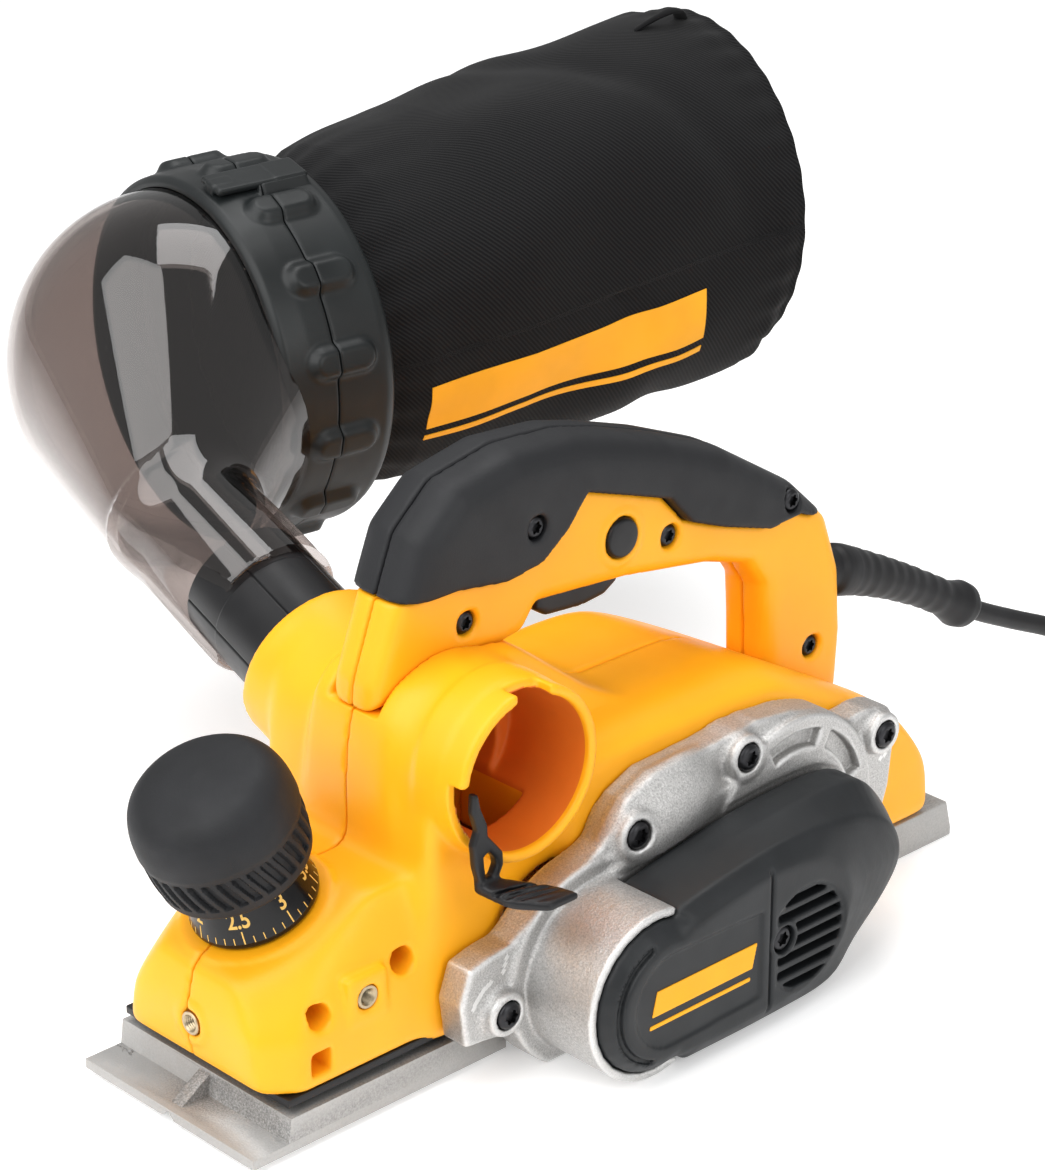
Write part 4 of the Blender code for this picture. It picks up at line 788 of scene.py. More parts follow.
def softbox(name, place_at, aim, size, power):
    data = bpy.data.lights.new(name, "AREA")
    data.shape = "RECTANGLE"
    data.size, data.size_y = size
    data.energy = power
    lamp = new_object(name, data)
    lamp.location = place_at
    lamp.rotation_mode = "QUATERNION"
    lamp.rotation_quaternion = (Vector(aim) - Vector(place_at)).to_track_quat("-Z", "Y")


def build_stage():
    bpy.ops.mesh.primitive_plane_add(size=12, location=(0, 0, -0.0002))
    floor = bpy.context.object
    floor.name = "floor"
    mat, tree, shader = shader_of("floor_paper")
    feed(tree, shader, Base_Color=(0.92, 0.92, 0.92, 1), Roughness=0.9,
         Emission_Color=(1, 1, 1, 1), Emission_Strength=0.3)
    floor.data.materials.append(mat)
    world = bpy.data.worlds.new("studio")
    world.use_nodes = True
    sky = world.node_tree
    feed(sky, sky.nodes["Background"], Color=(1, 1, 1, 1), Strength=0.5)
    bpy.context.scene.world = world
    bpy.context.scene.view_settings.view_transform = "Standard"
    softbox("key_light", (-0.09, -0.69, 0.92), (-0.18, -0.02, 0.16), (1.3, 1.3), 15)
    softbox("fill_light", (1.4, 0.1, 0.8), (0, 0, 0.08), (0.8, 1), 7)
    softbox("top_light", (-0.3, 0.3, 1.4), (-0.05, 0.05, 0.1), (0.8, 0.8), 7.5)


# ---------------------------------------------------------------- turned and swept pieces

def side_vectors(direction):
    direction = Vector(direction).normalized()
    hint = Vector((0, 0, 1)) if abs(direction.z) < 0.9 else Vector((0, 1, 0))
    u = direction.cross(hint).normalized()
    v = direction.cross(u).normalized()
    return u, v, direction


def rounded(profile, radius, steps=4):
    """Round the inner corners of a (radius, height) line."""
    result = [profile[0]]
    for before, here, after in zip(profile, profile[1:], profile[2:]):
        a, b, c = Vector(before), Vector(here), Vector(after)
        reach = min(radius, (a - b).length * 0.45, (c - b).length * 0.45)
        start = b + (a - b).normalized() * reach
        end = b + (c - b).normalized() * reach
        for i in range(steps + 1):
            t = i / steps
            result.append(tuple(start * (1 - t) ** 2 + b * (2 * t * (1 - t)) + end * t * t))
    result.append(profile[-1])
    return result


def fine(profile, longest):
    """Split long stretches of a profile, so that a shape function has rows to work on."""
    result = [profile[0]]
    for before, here in zip(profile, profile[1:]):
        steps = max(1, math.ceil((Vector(here) - Vector(before)).length / longest))
        for i in range(1, steps + 1):
            result.append(tuple(Vector(before).lerp(Vector(here), i / steps)))
    return result


def spun(name, base, direction, profile, count=64, shape=None, closed=False):
    """Turn a (radius, height) profile. shape(angles, radius, height, row) changes a ring."""
    u, v, w = (np.array(k) for k in side_vectors(direction))
    base = np.array(base, float)
    angles = np.arange(count) * (2 * math.pi / count)
    points, rings = [], []
    for row, (radius, height) in enumerate(profile):
        if radius <= 1e-6:
            rings.append([len(points)])
            points.append(base + w * height)
            continue
        sizes = np.full(count, float(radius))
        if shape:
            sizes = shape(angles, sizes, height, row)
        ring = (base + w * height + np.outer(sizes * np.cos(angles), u)
                + np.outer(sizes * np.sin(angles), v))
        rings.append(list(range(len(points), len(points) + count)))
        points.extend(ring)
    return joined_rings(name, points, rings, closed)


def joined_rings(name, points, rings, closed=False, capped=False):
    """Faces between rings of point numbers. A ring of one number is a pole."""
    faces = []
    pairs = list(zip(rings, rings[1:]))
    if closed:
        pairs.append((rings[-1], rings[0]))
    for low, high in pairs:
        count = max(len(low), len(high))
        for i in range(count):
            j = (i + 1) % count
            if len(low) == 1:
                faces.append((low[0], high[i], high[j]))
            elif len(high) == 1:
                faces.append((low[i], low[j], high[0]))
            else:
                faces.append((low[i], low[j], high[j], high[i]))
    if capped:
        faces.append(tuple(reversed(rings[0])))
        faces.append(tuple(rings[-1]))
    thing = mesh_object(name, points, faces)
    face_out(thing)
    return thing


def face_out(thing, angle=40):
    """Turn every face outwards, and shade smooth up to an edge angle in degrees."""
    bm = bmesh.new()
    bm.from_mesh(thing.data)
    bmesh.ops.recalc_face_normals(bm, faces=bm.faces)
    bm.to_mesh(thing.data)
    bm.free()
    thing.data.shade_smooth()
    thing.data.set_sharp_from_angle(angle=math.radians(angle))


def circle(centre, direction, radius, count, squash=1):
    """Points round a centre, square to a direction, flattened one way by squash."""
    u, v, _ = side_vectors(direction)
    return [centre + u * (radius * math.cos(a)) + v * (radius * squash * math.sin(a))
            for a in (2 * math.pi * k / count for k in range(count))]


def swept(name, path, sizes, count, squash=1):
    """Rings of given radii along a path, closed at both ends."""
    points, rings = [], []
    for i, (centre, radius) in enumerate(zip(path, sizes)):
        ahead = path[min(i + 1, len(path) - 1)] - path[max(i - 1, 0)]
        rings.append(list(range(len(points), len(points) + count)))
        points += circle(centre, ahead, radius, count, squash)
    return joined_rings(name, points, rings, capped=True)


def smooth_step(low, high, value):
    t = np.clip((value - low) / (high - low), 0, 1)
    return t * t * (3 - 2 * t)


# ---------------------------------------------------------------- depth knob

KNOB_RIBS = 34
DIAL_LOW, DIAL_HIGH = 3, 17
DIAL_WIDE, DIAL_NARROW = 21, 16.6


def build_knob():
    def ribs(angles, sizes, height, _):
        turn = (angles + 0.014 * (height - 27)) * KNOB_RIBS
        rib = smooth_step(-0.05, 0.35, np.cos(turn))
        window = smooth_step(21.6, 22.4, height) * (1 - smooth_step(32.8, 34, height))
        return sizes - 1.5 * (1 - rib) * window
    profile = [(0, 20.6), (14, 20.6), (14, 17.4), (21.5, 16.6), (24.6, 18.4), (24.9, 21),
               (25.9, 27), (26, 34.4), (26.4, 36), (26.1, 42.5), (24.2, 48.6), (20, 52.6),
               (12, 54.9), (0, 55.6)]
    knob = spun("knob_dome", KNOB_BASE, KNOB_DIR, fine(rounded(profile, 4, 5), 0.7),
                KNOB_RIBS * 12, ribs)
    finish(knob, "knob", "depth_knob", "black_rubber", "knob_cap")
    dial_profile = [(4.3, 0.6), (20.4, 0.6), (21, 1.6), (DIAL_WIDE, DIAL_LOW),
                    (DIAL_NARROW, DIAL_HIGH), (4.3, 17)]
    dial = spun("dial_cone", KNOB_BASE, KNOB_DIR, rounded(dial_profile, 0.4), 128, closed=True)
    finish(dial, "dial", "depth_knob", "dial_black", "depth_dial")
    finish(dial_scale(), "gold", "depth_knob", "brass")


def on_dial(angle, along, lift):
    """A point on the dial's cone: angle round it, distance up its slope, height above it."""
    slope = Vector((DIAL_NARROW - DIAL_WIDE, DIAL_HIGH - DIAL_LOW)).normalized()
    radius = DIAL_WIDE + slope.x * along + slope.y * lift
    height = DIAL_LOW + slope.y * along - slope.x * lift
    across = Vector((1, 0, 0))
    back = KNOB_DIR.cross(across)
    return (KNOB_BASE + KNOB_DIR * height
            + (across * math.cos(angle) + back * math.sin(angle)) * radius)


def dial_scale():
    """Ticks every tenth of a millimetre of depth and numbers every half."""
    points, faces = [], []
    facing = math.radians(-49)
    for i in range(40):
        angle = facing + 2 * math.pi * i / 40
        long = i % 5 == 0
        half = 0.22 if long else 0.15
        top = 4.4 if long else 2.3
        first = len(points)
        for lift in (-0.1, 0.07):
            for side, along in ((-1, 0.1), (1, 0.1), (1, top), (-1, top)):
                points.append(on_dial(angle + side * half / DIAL_WIDE, along, lift))
        for quad in ((3, 2, 1, 0), (4, 5, 6, 7), (0, 1, 5, 4), (1, 2, 6, 5), (2, 3, 7, 6),
                     (3, 0, 4, 7)):
            faces.append(tuple(first + q for q in quad))
    for i in range(8):
        add_number(points, faces, f"{(5 + i) % 8 * 0.5:g}", facing + math.pi / 4 * i)
    return mesh_object("dial_scale", points, faces, smooth=False)


def add_number(points, faces, text, angle):
    curve = bpy.data.curves.new("number", "FONT")
    curve.body = text
    curve.align_x = "CENTER"
    curve.size = 8
    curve.extrude = 0.08
    curve.offset = 0.14
    curve.resolution_u = 4
    thing = new_object("number", curve)
    graph = bpy.context.evaluated_depsgraph_get()
    mesh = bpy.data.meshes.new_from_object(thing.evaluated_get(graph))
    first = len(points)
    for v in mesh.vertices:
        points.append(on_dial(angle + v.co.x * 0.8 / 19.5, 5.6 + v.co.y, v.co.z))
    for face in mesh.polygons:
        faces.append(tuple(first + k for k in face.vertices))
    bpy.data.objects.remove(thing)
    bpy.data.meshes.remove(mesh)


# ---------------------------------------------------------------- screws and small parts

def star_screw(name, y, z, shank, head, x0, head_x, x1, node):
    """A round-headed screw along X with a six-lobed drive recess."""
    top, seat = x1 - x0, head_x - x0
    profile = [(0, 0), (shank, 0), (shank, seat - 0.2), (head - 0.2, seat), (head, seat + 0.3),
               (head, top - 1.3), (head * 0.93, top - 0.7), (head * 0.8, top - 0.25),
               (head * 0.66, top), (head * 0.5, top - 0.05), (head * 0.46, top - 1.5),
               (0, top - 1.6)]
    recess_rows = (9, 10)

    def lobes(angles, sizes, _, row):
        return sizes * (1 + 0.17 * np.cos(6 * angles)) if row in recess_rows else sizes
    screw = spun(name, (x0, y, z), (1, 0, 0), profile, 48, lobes)
    finish(screw, "screw", "frame", "black_screw", node)


def build_screws():
    for letter, (y, z) in zip("abcd", CASTING_SCREWS):
        star_screw("star_screw_" + letter, y, z, 2.5, 4.6, 34, 55.8, 59.6,
                   "casting_screw_" + letter)
    star_screw("star_screw_cover", *COVER_SCREW, 2.1, 4.5, 50, 84.3, 88.6, "cover_screw")
    for number, (y, z, side) in enumerate(HANDLE_SCREWS, 1):
        star_screw("star_screw_" + str(number), y, z, 1.6, 3.9, -6, side - 3.2, side - 1,
                   "handle_screw_" + str(number))


def threaded_bush(name, start, end, node):
    """A brass insert with the turns of its thread showing in the bore."""
    length = (Vector(end) - Vector(start)).length
    bore = [(2.4 + (0.35 if i % 2 else 0), length - 0.5 - 0.4 * i) for i in range(18)]
    profile = [(3.9, 0), (3.9, length - 0.2), (3.7, length), (2.9, length)] + bore + [(2.4, 0)]
    bush = spun(name, start, Vector(end) - Vector(start), profile, 40, closed=True)
    finish(bush, "brass", "frame", "brass", node)


def build_small_parts():
    threaded_bush("bush_side", (30, -113, 43), (40.6, -113, 43), "side_insert")
    threaded_bush("bush_front", (2, -140, 33), (2, -151.6, 33), "front_insert")
    button = [(0, 0), (6.9, 0), (6.9, 7.2), (6.2, 8.2), (3, 8.4), (0, 8.4)]
    push = spun("lock_push", (4.2, 23.4, 145), (1, 0, 0), rounded(button, 0.8), 64)
    finish(push, "black", "lock_button", "black_plastic", "lock_button")
    f = Field((-7, -11, 120), (7, 30, 140), 0.5)
    outline = [(-9, 127.5), (-4, 124), (12, 122.5), (22, 123.5), (28, 127), (28, 131.5), (-6, 138),
               (-8.6, 134)]
    f.d = prism(f, outline, -5.5, 5.5, 2)
    f.smooth(2)
    for i in range(3):
        f.cut(rod(f, (-8, 8 + 4 * i, 122.2), (8, 8 + 4 * i, 122.2), 0.9), 0.5)
    lever = skin("trigger_blade", f)
    finish(lever, "black", "trigger", "black_plastic", "trigger")
    build_port_lever()


def capsule(f, start, end, radius):
    start, end = Vector(start), Vector(end)
    axis = end - start
    px, py, pz = f.x - start.x, f.y - start.y, f.z - start.z
    t = np.clip((px * axis.x + py * axis.y + pz * axis.z) / axis.length_squared, 0, 1)
    return np.sqrt((px - axis.x * t) ** 2 + (py - axis.y * t) ** 2
                   + (pz - axis.z * t) ** 2) - radius


def build_port_lever():
    """The catch beside the chip port: a wavy stem with a window and a flat thumb tab."""
    f = Field((46, -84, 62), (75, -50, 107), 0.5)
    stem = [(-76.5, 71), (-70, 70.5), (-67, 76), (-67.2, 80.5), (-70.5, 84.5), (-73.4, 88),
            (-73.6, 92), (-76.2, 98), (-77.4, 103.4), (-79.2, 103.4), (-79.6, 97), (-77.6, 90.5),
            (-79.4, 86), (-78.6, 78)]
    f.d = prism(f, stem, 48.7, 52.2, 1)
    window = [(-74.4, 73.6), (-71.6, 73.4), (-70, 76.6), (-70.6, 79.4), (-73.2, 82.4),
              (-75.4, 81.4)]
    f.cut(prism(f, window, 44, 56), 0.6)
    tab = [(49.5, -78, 73.2), (49.5, -70.5, 72.8), (49.5, -78, 68.8), (49.5, -70.5, 68.8),
           (62, -74.5, 69.8), (63.5, -56.5, 69.6), (62, -74.5, 66.4), (63.5, -56.5, 66.4),
           (71.6, -66, 69.4), (71.6, -53.5, 69.4), (71.6, -66, 66.6), (71.6, -53.5, 66.6)]
    f.add(hull(f, tab, 0.4), 1.2)
    f.smooth(1)
    for i in range(4):
        x = 58 + 2.9 * i
        f.cut(capsule(f, (x - 1, -76, 70.5), (x + 4, -54, 70.3), 0.8), 0.3)
    lever = skin("port_catch", f)
    finish(lever, "black", "port_lever", "black_plastic", "port_lever")


# ---------------------------------------------------------------- clear elbow

ELBOW_START = 27
ELBOW_BEND = 84
ELBOW_WALL = 2.6
TUBE_R = 25.2


def round_cone(p, a, b, r1, r2):
    """Distance to the hull of two balls."""
    a, b = np.array(a), np.array(b)
    ba = b - a
    l2 = ba @ ba
    rr = r1 - r2
    a2 = l2 - rr * rr
    pa = p - a
    y = pa @ ba
    z = y - l2
    cross = pa * l2 - np.outer(y, ba)
    x2 = (cross * cross).sum(1)
    y2, z2 = y * y * l2, z * z * l2
    k = np.sign(rr) * rr * rr * x2
    middle = (np.sqrt(x2 * a2 / l2) + y * rr) / l2 - r1
    near = np.sqrt(x2 + y2) / l2 - r1
    far = np.sqrt(x2 + z2) / l2 - r2
    return np.where(np.sign(z) * a2 * z2 > k, far, np.where(np.sign(y) * a2 * y2 < k, near,
                                                            middle))


def line_distance(p, base, direction):
    q = p - np.array(base)
    along = q @ np.array(direction)
    return np.sqrt(np.maximum((q * q).sum(1) - along * along, 0)), along


def elbow_distance(p):
    """The clear elbow: a thin wall round the tube and the dome, open at both ends."""
    bend = PIPE_MOUTH + PIPE_DIR * ELBOW_BEND
    cone = round_cone(p, DOME_MID, bend + PIPE_DIR * 4, DOME_R, TUBE_R)
    radial, along = line_distance(p, PIPE_MOUTH, PIPE_DIR)
    pipe = np.maximum(radial - TUBE_R, along - ELBOW_BEND - 4)
    dome_radial, dome_along = line_distance(p, COLLAR_MID, BAG_DIR)
    skirt = np.maximum(dome_radial - DOME_R, -30 - dome_along)
    outer = np.minimum(soft_min(cone, pipe, 5), skirt)
    wall = np.maximum(outer, -outer - ELBOW_WALL)
    for end in (dome_along + 8.6, ELBOW_START - along):
        wall = -soft_min(-wall, -end, 1.6)
    return wall


def build_elbow():
    f = Field((-276, -62, 78), (-80, 46, 214), 1.2)
    grid = np.stack(np.broadcast_arrays(f.x, f.y, f.z), -1).reshape(-1, 3).astype(float)
    f.d = elbow_distance(grid).reshape(f.d.shape).astype(np.float32)
    elbow = skin("clear_elbow", f)
    points = np.array([v.co for v in elbow.data.vertices]) / MM
    for _ in range(3):
        value, slope = gradient(elbow_distance, points)
        points -= slope * (value / np.maximum((slope * slope).sum(1), 0.2))[:, None]
    elbow.data.vertices.foreach_set("co", (points * MM).ravel())
    _, slope = gradient(elbow_distance, points)
    normals = slope / np.maximum(np.linalg.norm(slope, axis=1), 1e-6)[:, None]
    elbow.data.normals_split_custom_set_from_vertices(normals.tolist())
    finish(elbow, "clear", "dust_set", "smoked_clear", "dust_elbow")


def gradient(function, points, reach=0.05):
    value = function(points)
    slope = np.empty_like(points)
    for axis in range(3):
        ahead = points.copy()
        ahead[:, axis] += reach
        behind = points.copy()
        behind[:, axis] -= reach
        slope[:, axis] = (function(ahead) - function(behind)) / (2 * reach)
    return value, slope


def build_sleeve():
    """The black sleeve, with two moulded lines along its neck."""
    base = PIPE_MOUTH - PIPE_DIR * 18
    profile = [(20.6, 0), (25.1, 0), (25.1, 17), (23.6, 18.5), (22.4, 20), (22.4, 44),
               (22.2, 44.4), (22.2, 62), (20.6, 62)]

    def lines(angles, sizes, height, _):
        groove = np.zeros_like(angles)
        for k in range(6):
            offset = np.abs((angles - k * math.pi / 3 + math.pi) % (2 * math.pi) - math.pi)
            groove += 1 - smooth_step(0.008, 0.022, offset)
        return sizes - 0.5 * groove * (height > 19) * (sizes > 21.5)
    sleeve = spun("chip_sleeve", base, PIPE_DIR, rounded(profile, 0.5, 2), 360, lines,
                  closed=True)
    finish(sleeve, "black", "dust_set", "black_plastic", "dust_sleeve")


# ---------------------------------------------------------------- collar

LATCH_LEAN = math.radians(12)
PADS = 14
PAD_MID = -5.5
PAD_REACH = 15
PAD_HALF = 7.6


def build_collar():
    """Two rings meeting at a seam, with raised finger pads that run across both."""
    def pads(angles, sizes, height, _):
        turn = np.abs((angles * PADS / (2 * math.pi)) % 1 - 0.5) * 2 * math.pi / PADS
        past = max(abs(height - PAD_MID) - (PAD_REACH - PAD_HALF), 0)
        from_line = np.hypot(turn * COLLAR_R, past)
        pad = 1 - smooth_step(PAD_HALF - 4.2, PAD_HALF, from_line)
        beside = np.abs((angles + math.pi / 2 - LATCH_LEAN + math.pi) % (2 * math.pi) - math.pi)
        seat = 1 - smooth_step(7.4, 8.4, beside * COLLAR_R)
        seat = seat * smooth_step(-9.5, -8.5, height) * (1 - smooth_step(11, 12, height))
        return sizes + np.maximum(3.3 * pad, 2.8 * seat) * (sizes > COLLAR_R - 5)
    r = COLLAR_R
    front = [(DOME_R + 0.3, -29), (r - 6, -29), (r - 4, -27.4), (r - 3, -18), (r - 3, -9),
             (r - 3.4, -8.2), (DOME_R + 0.3, -8.2)]
    rear = [(60.6, -7.8), (r - 3.4, -7.8), (r - 3, -7), (r - 2.8, 12.4), (r - 4, 15.4),
            (r - 6, 17.2), (60.6, 17.2)]
    for name, profile, node in (("collar_ring_front", front, "collar_front"),
                                ("collar_ring_rear", rear, "collar_rear")):
        ring = spun(name, COLLAR_MID, BAG_DIR, fine(rounded(profile, 1, 3), 0.9), PADS * 28,
                    pads, closed=True)
        finish(ring, "collar", "dust_set", "collar_plastic", node)


def build_latch():
    """The catch on top of the collar, made flat and then set on the ring."""
    f = Field((-9, -30, -1.5), (9, 13, 8.5), 0.45)
    f.d = box(f, (-6.2, -27, 0), (6.2, 10, 2.8), 1)
    f.add(box(f, (-6.2, -3.5, 0), (6.2, 10, 5.8), 1.2), 1)
    f.add(box(f, (-2.6, -27.5, 0), (2.6, -18, 4.8), 1), 0.8)
    f.add(rod(f, (0, -13, 0), (0, -13, 5.2), 3.6, 0.6), 0.4)
    f.cut(rod(f, (0, -13, 3.4), (0, -13, 8), 2), 0.3)
    for i in range(3):
        f.cut(capsule(f, (-8, 3.2 * i, 6.3), (8, 3.2 * i, 6.3), 0.9), 0.3)
    latch = skin("collar_catch", f)
    lean = Vector((math.sin(LATCH_LEAN), 0, math.cos(LATCH_LEAN)))
    across = lean.cross(BAG_DIR).normalized()
    up = across.cross(BAG_DIR).normalized()
    spot = COLLAR_MID + lean * (COLLAR_R + GAP)
    turn = Matrix((across, BAG_DIR, up)).transposed().to_4x4()
    latch.data.transform(Matrix.Translation(spot * MM) @ turn)
    face_out(latch, 60)
    finish(latch, "collar", "collar_latch", "black_plastic", "collar_latch")


# ---------------------------------------------------------------- bag

BAG_MOUTH = 9.4
BAG_RIM = 208.3
BAG_END = 211
BAG_STATIONS = [(18, 60), (24, 60.3), (36, 64.5), (80, 69.5), (135, 71.5), (195, 70.5),
                (203, 69.2), (BAG_RIM, 62)]


def bag_centre(s):
    lift = (BAG_RISE + 2.5) * (max(0, s - 10) / BAG_LENGTH) ** 0.9
    return COLLAR_MID + BAG_DIR * s + Vector((0, 0, lift))


def bag_radius(s):
    return float(np.interp(s, [a for a, _ in BAG_STATIONS], [b for _, b in BAG_STATIONS]))


def bag_point(s, a, lift=0):
    """A point on the cloth: s along the bag, a round it (0 to +X, a quarter turn down)."""
    u, v, _ = side_vectors(BAG_DIR)
    free = float(smooth_step(22, 70, s)) * (1 - float(smooth_step(192, 203, s)))
    radius = bag_radius(s) * (1 - 0.035 * math.cos(4 * a) * free)
    gather = math.exp(-max(0, s - 18) / 16)
    wrinkle = 0.9 * gather * math.sin(26 * a + 1.5 * math.sin(3 * a))
    wrinkle += free * (1.3 * math.sin(3 * a + 0.03 * s + 0.8) + 0.9 * math.sin(5 * a - 0.052 * s)
                       + 0.7 * math.sin(2 * a + 0.085 * s + 2)
                       + 0.45 * math.sin(9 * a + 0.07 * s))
    crease = math.sin(1.5 * a - 0.045 * s + 0.6)
    wrinkle -= 1.5 * free * max(0, crease) ** 10
    puckers = math.exp(-((s - 196) / 9) ** 2) * 0.5 * math.sin(34 * a)
    piping = 1.3 * math.exp(-((s - 203.5) / 1.3) ** 2)
    seam = 0.7 * math.exp(-(((a - 2 + math.pi) % (2 * math.pi) - math.pi) / 0.03) ** 2) * free
    r = radius - 1.4 + wrinkle + puckers + piping + seam + lift
    return bag_centre(s) + (u * math.cos(a) + v * math.sin(a)) * r


def build_bag():
    """A sewn cloth tube with a round end, a hollow skin of real thickness."""
    count = 248
    rows = [BAG_MOUTH + 1.06 * i for i in range(188)]
    points, rings, marks = [], [], []
    for s in rows:
        rings.append(list(range(len(points), len(points) + count)))
        for k in range(count):
            a = 2 * math.pi * k / count
            points.append(bag_point(s, a))
            marks.append((a * 68, s))
    shrink = [0.96, 0.88, 0.76, 0.62, 0.46, 0.3, 0.14]
    last = rings[-1]
    rim_centre = bag_centre(BAG_RIM)
    for i, share in enumerate(shrink):
        s = BAG_RIM + (BAG_END - BAG_RIM) * math.sin((i + 1) / len(shrink) * math.pi / 2)
        centre = bag_centre(s)
        ring = []
        for k, index in enumerate(last):
            a = 2 * math.pi * k / count
            out = Vector(points[index]) - rim_centre
            ripple = 0.5 * math.sin(7 * a + 9 * share) * share
            ring.append(len(points))
            points.append(centre + out * share + BAG_DIR * ripple)
            marks.append((out.length * share * math.cos(a), 220 + out.length * share * math.sin(a)))
        rings.append(ring)
    rings.append([len(points)])
    points.append(bag_centre(BAG_END))
    marks.append((0, 220))
    outer = joined_rings("bag_cloth_skin", points, rings)
    layer = outer.data.attributes.new("cloth", "FLOAT_VECTOR", "POINT")
    layer.data.foreach_set("vector", [c * MM for u, v in marks for c in (u, v, 0)])
    wall = outer.modifiers.new("thickness", "SOLIDIFY")
    wall.thickness = 1.2 * MM
    wall.offset = -1
    finish(outer, "cloth", "dust_set", "bag_cloth", "dust_bag")
    for name, s0, s1, a0, a1 in (("bag_band_wide", 36, 158, 0.16, 0.44),
                                 ("bag_band_thin", 36, 158, 0.49, 0.525)):
        band = bag_patch(name, s0, s1, a0, a1)
        finish(band, "print", "dust_set", "yellow_plastic")
    build_bag_loop()


def quads(*corners):
    """Four-sided faces from four arrays of point numbers."""
    return list(zip(*(c.ravel().tolist() for c in corners)))


def bag_patch(name, s0, s1, a0, a1):
    """A plain printed band that follows the cloth."""
    along, across = 90, 24
    points = [bag_point(s0 + (s1 - s0) * i / along, a0 + (a1 - a0) * j / across, lift)
              for lift in (0.35, -0.3) for i in range(along + 1) for j in range(across + 1)]
    top, low = np.arange(len(points)).reshape(2, along + 1, across + 1)
    faces = quads(top[:-1, :-1], top[1:, :-1], top[1:, 1:], top[:-1, 1:])
    faces += quads(low[:-1, :-1], low[:-1, 1:], low[1:, 1:], low[1:, :-1])
    for j in (0, across):
        faces += quads(top[:-1, j], low[:-1, j], low[1:, j], top[1:, j])
    for i in (0, along):
        faces += quads(top[i, :-1], top[i, 1:], low[i, 1:], low[i, :-1])
    band = mesh_object(name, points, faces)
    face_out(band)
    return band


def build_bag_loop():
    """A short hanging loop sewn to the top of the bag's far end."""
    top = -math.pi / 2
    path = []
    for i in range(25):
        t = i / 24
        out = 6.5 * math.sin(math.pi * t)
        path.append(bag_point(197 - 22 * t, top + 0.1 * math.sin(math.pi * t), out - 0.5))
    loop = swept("bag_loop", path, [2.6] * len(path), 16, 0.4)
    finish(loop, "cloth", "dust_set", "bag_cloth")


# ---------------------------------------------------------------- cord

CORD_ROUTE = [(0, 205, 62.6), (0, 213.5, 57.9), (0, 224, 52.4), (0.5, 242, 44), (2, 262, 35),
              (5, 284, 23), (8.5, 304, 12), (11, 322, 5.3), (12, 336, 4), (12, 352, 4)]
COIL_MID = Vector((63.5, 389.5, 8.2))
COIL_RADII = (54.8, 47.2, 39.6, 32)
COIL_LAYERS = (4, 11.7)
PLUG_BASE = COIL_MID + Vector((60.5, -33.5, 2.8))
PLUG_DIR = Vector((0.08, -1, 0)).normalized()


def smooth_route(points, spacing):
    """Points at an even spacing on a smooth curve through the given points."""
    line = curved(points, 24)
    result = [line[0]]
    for p in line[1:]:
        if (p - result[-1]).length >= spacing:
            result.append(p)
    if (line[-1] - result[-1]).length > 0.3 * spacing:
        result.append(line[-1])
    return result


def coil_point(turns):
    """A point of the coil: four turns inwards on the floor, then outwards on top of them."""
    whole = int(turns + 1e-9)
    part = turns - whole
    order = COIL_RADII + tuple(reversed(COIL_RADII))
    here = order[min(whole, 7)]
    there = order[min(whole + 1, 7)]
    shift = float(smooth_step(0.8, 1, part))
    radius = here + (there - here) * shift
    height = COIL_LAYERS[0] if whole < 4 else COIL_LAYERS[1]
    if whole == 3:
        height += (COIL_LAYERS[1] - COIL_LAYERS[0]) * float(smooth_step(0.45, 0.8, part))
    angle = math.pi - 2 * math.pi * turns
    return Vector((COIL_MID.x + radius * math.cos(angle), COIL_MID.y + radius * math.sin(angle),
                   height))


def cord_line():
    steps = 60
    turns = 7.5
    coil = [coil_point(i / steps) for i in range(int(turns * steps) + 1)]
    approach = smooth_route(CORD_ROUTE + [tuple(coil[0])], 4)[:-1]
    tail = smooth_route([tuple(coil[-1]), tuple(coil[-1] + Vector((0.7, -14, -0.3))),
                         tuple(PLUG_BASE - PLUG_DIR * 10), tuple(PLUG_BASE)], 4)
    return approach + coil + tail[1:]


def build_cord():
    line = cord_line()
    curve = bpy.data.curves.new("lead", "CURVE")
    curve.dimensions = "3D"
    spline = curve.splines.new("POLY")
    spline.points.add(len(line) - 1)
    for point, place_at in zip(spline.points, line):
        point.co = (*(place_at * MM), 1)
    curve.bevel_depth = CORD_R * MM
    curve.bevel_resolution = 6
    curve.use_fill_caps = True
    lead = new_object("lead", curve)
    finish(lead, "cord", "frame", "cord_rubber", "power_cord", "cord_coil")
    pieces = build_plug() + [build_coil_tie()]


def build_coil_tie():
    """A flat strap round the coil, which keeps it wound."""
    out = Vector((math.cos(2.6), math.sin(2.6), 0))
    centre = COIL_MID + out * 43.4 - Vector((0, 0, 0.3))
    path = []
    wide, tall = 16.2, 8
    for i in range(49):
        a = 2 * math.pi * i / 48
        c, s = math.cos(a), math.sin(a)
        reach = (abs(c) ** 6 + abs(s) ** 6) ** (-1 / 6)
        path.append(centre + out * (wide * c * reach) + Vector((0, 0, tall * s * reach)))
    along = Vector((-out.y, out.x, 0))
    points, rings = [], []
    for p in path[:-1]:
        away = (p - centre).normalized()
        rings.append(list(range(len(points), len(points) + 4)))
        for side, lift in ((-5, -0.9), (5, -0.9), (5, -0.1), (-5, -0.1)):
            points.append(p + along * side + away * lift)
    tie = joined_rings("coil_tie", points, rings, closed=True)
    return finish(tie, "grip", "frame", "black_rubber")


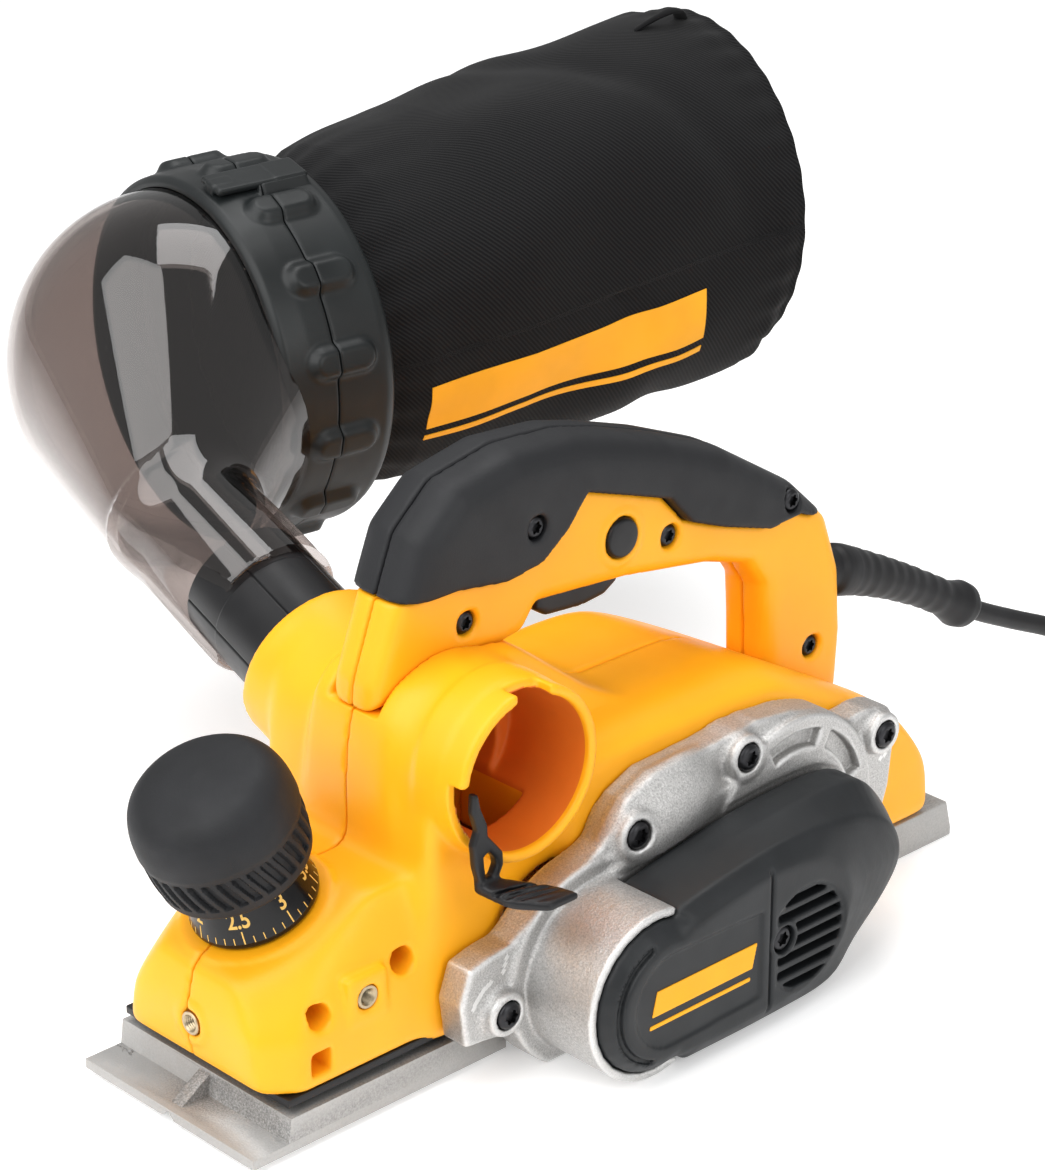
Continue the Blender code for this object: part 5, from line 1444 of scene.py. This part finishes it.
def build_plug():
    def grooves(angles, sizes, height, _):
        side = smooth_step(0.35, 0.75, np.abs(np.cos(angles)))
        dip = smooth_step(0.2, 0.9, math.sin(height * 1.7)) * (6 < height < 21)
        return sizes - 0.7 * side * dip
    profile = [(0, 0), (4.6, 0), (5.6, 1), (7, 4), (9, 9.5), (10, 14), (10.6, 24), (9.5, 29),
               (0, 29)]
    grip = spun("plug_grip", PLUG_BASE, PLUG_DIR, fine(rounded(profile, 1.2), 0.6), 96, grooves)
    finish(grip, "cord", "frame", "cord_rubber", "power_plug")
    across = Vector((PLUG_DIR.y, -PLUG_DIR.x, 0))
    f = Field(PLUG_BASE + Vector((-22, -38, -12)), PLUG_BASE + Vector((26, -18, 12)), 0.6)
    face = PLUG_BASE + PLUG_DIR * 24
    f.d = hull(f, [tuple(p) for side in (-8, 8) for depth in (0, 8)
                   for p in circle(face + across * side + PLUG_DIR * depth, PLUG_DIR, 9.4, 28)],
               0.8)
    disc = skin("plug_face", f)
    finish(disc, "cord", "frame", "cord_rubber")
    made = [grip, disc]
    for number, side in enumerate((-9.5, 9.5)):
        pin_profile = [(0, 0), (2, 0), (2, 17.6), (1.6, 20.4), (0, 21)]
        pin = spun("plug_pin_" + "ab"[number], face + across * side + PLUG_DIR * 6, PLUG_DIR,
                   rounded(pin_profile, 0.8), 32)
        made.append(finish(pin, "steel", "frame", "steel"))
    return made


def build_guard():
    """Rubber bend relief: a root collar, a long tapering sleeve and a bulb at its end."""
    stations = [(127, 99.5, 7.6), (136, 96.5, 7.6), (137.6, 96, 9.2), (141, 94.8, 9.3),
                (151, 90.9, 8.4), (168, 83.2, 7.4), (186, 73.8, 6.8), (199, 66.2, 6.7),
                (203, 63.8, 7.6), (206.5, 61.8, 8.7), (210, 59.9, 8.3), (213, 58.2, 6.4)]
    path, sizes = [], []
    line = smooth_route([(0, y, z) for y, z, _ in stations], 1)
    ys = [y for y, _, _ in stations]
    rs = [r for _, _, r in stations]
    for p in line:
        size = float(np.interp(p.y, ys, rs))
        if 146 < p.y < 198:
            size -= 0.25 * (1 if int(p.y / 3.2) % 2 else 0)
        path.append(p)
        sizes.append(size)
    guard = swept("bend_relief", path, sizes, 48)
    finish(guard, "cord", "frame", "cord_rubber", "cord_guard")


# ---------------------------------------------------------------- carried-over parts

def bevelled(node, look, width):
    """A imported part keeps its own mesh, and gets softened edges and its look."""
    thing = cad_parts[node]
    dress(thing, look)
    weld = thing.modifiers.new("weld", "WELD")
    weld.merge_threshold = 0.00001
    edge = thing.modifiers.new("edge", "BEVEL")
    edge.width = width * MM
    edge.segments = 2
    edge.limit_method = "ANGLE"
    edge.angle_limit = math.radians(30)
    thing.data.shade_smooth()
    thing.data.set_sharp_from_angle(angle=math.radians(35))


def dress_packed_parts():
    for look, width, nodes in (
            ("shoe", 0.6, "rear_shoe front_shoe"),
            ("black", 0.4, "front_guide"),
            ("black", 0.3, "motor_fan"),
            ("black", 0.5, "switch_body"),
            ("brass", 0.2, "depth_nut"),
            ("steel", 0.1, "cutter_blade_a cutter_blade_b"),
            ("steel", 0.2, "depth_screw motor_pulley"),
            ("steel", 0.3, "blade_clamp_a blade_clamp_b motor_shaft stator"),
            ("steel", 0.4, "drum_bearing_left drum_bearing_right motor_bearing_left"),
            ("steel", 0.4, "motor_bearing_right"),
            ("rim", 0.3, "cutter_drum"),
            ("rim", 0.2, "drum_pulley"),
            ("grip", 0.3, "drive_belt"),
            ("copper", 0.3, "armature"),
            ("copper", 0.2, "commutator"),
            ("carbon", 0.3, "brush_front brush_rear")):
        for node in nodes.split():
            bevelled(node, look, width)


# ---------------------------------------------------------------- everything

for build in (build_camera, build_cord, build_stage, build_housing, build_handle, build_casting,
              build_cover, build_knob, build_screws, build_small_parts, build_elbow,
              build_sleeve, build_collar, build_latch, build_bag, build_guard,
              dress_packed_parts):
    build()
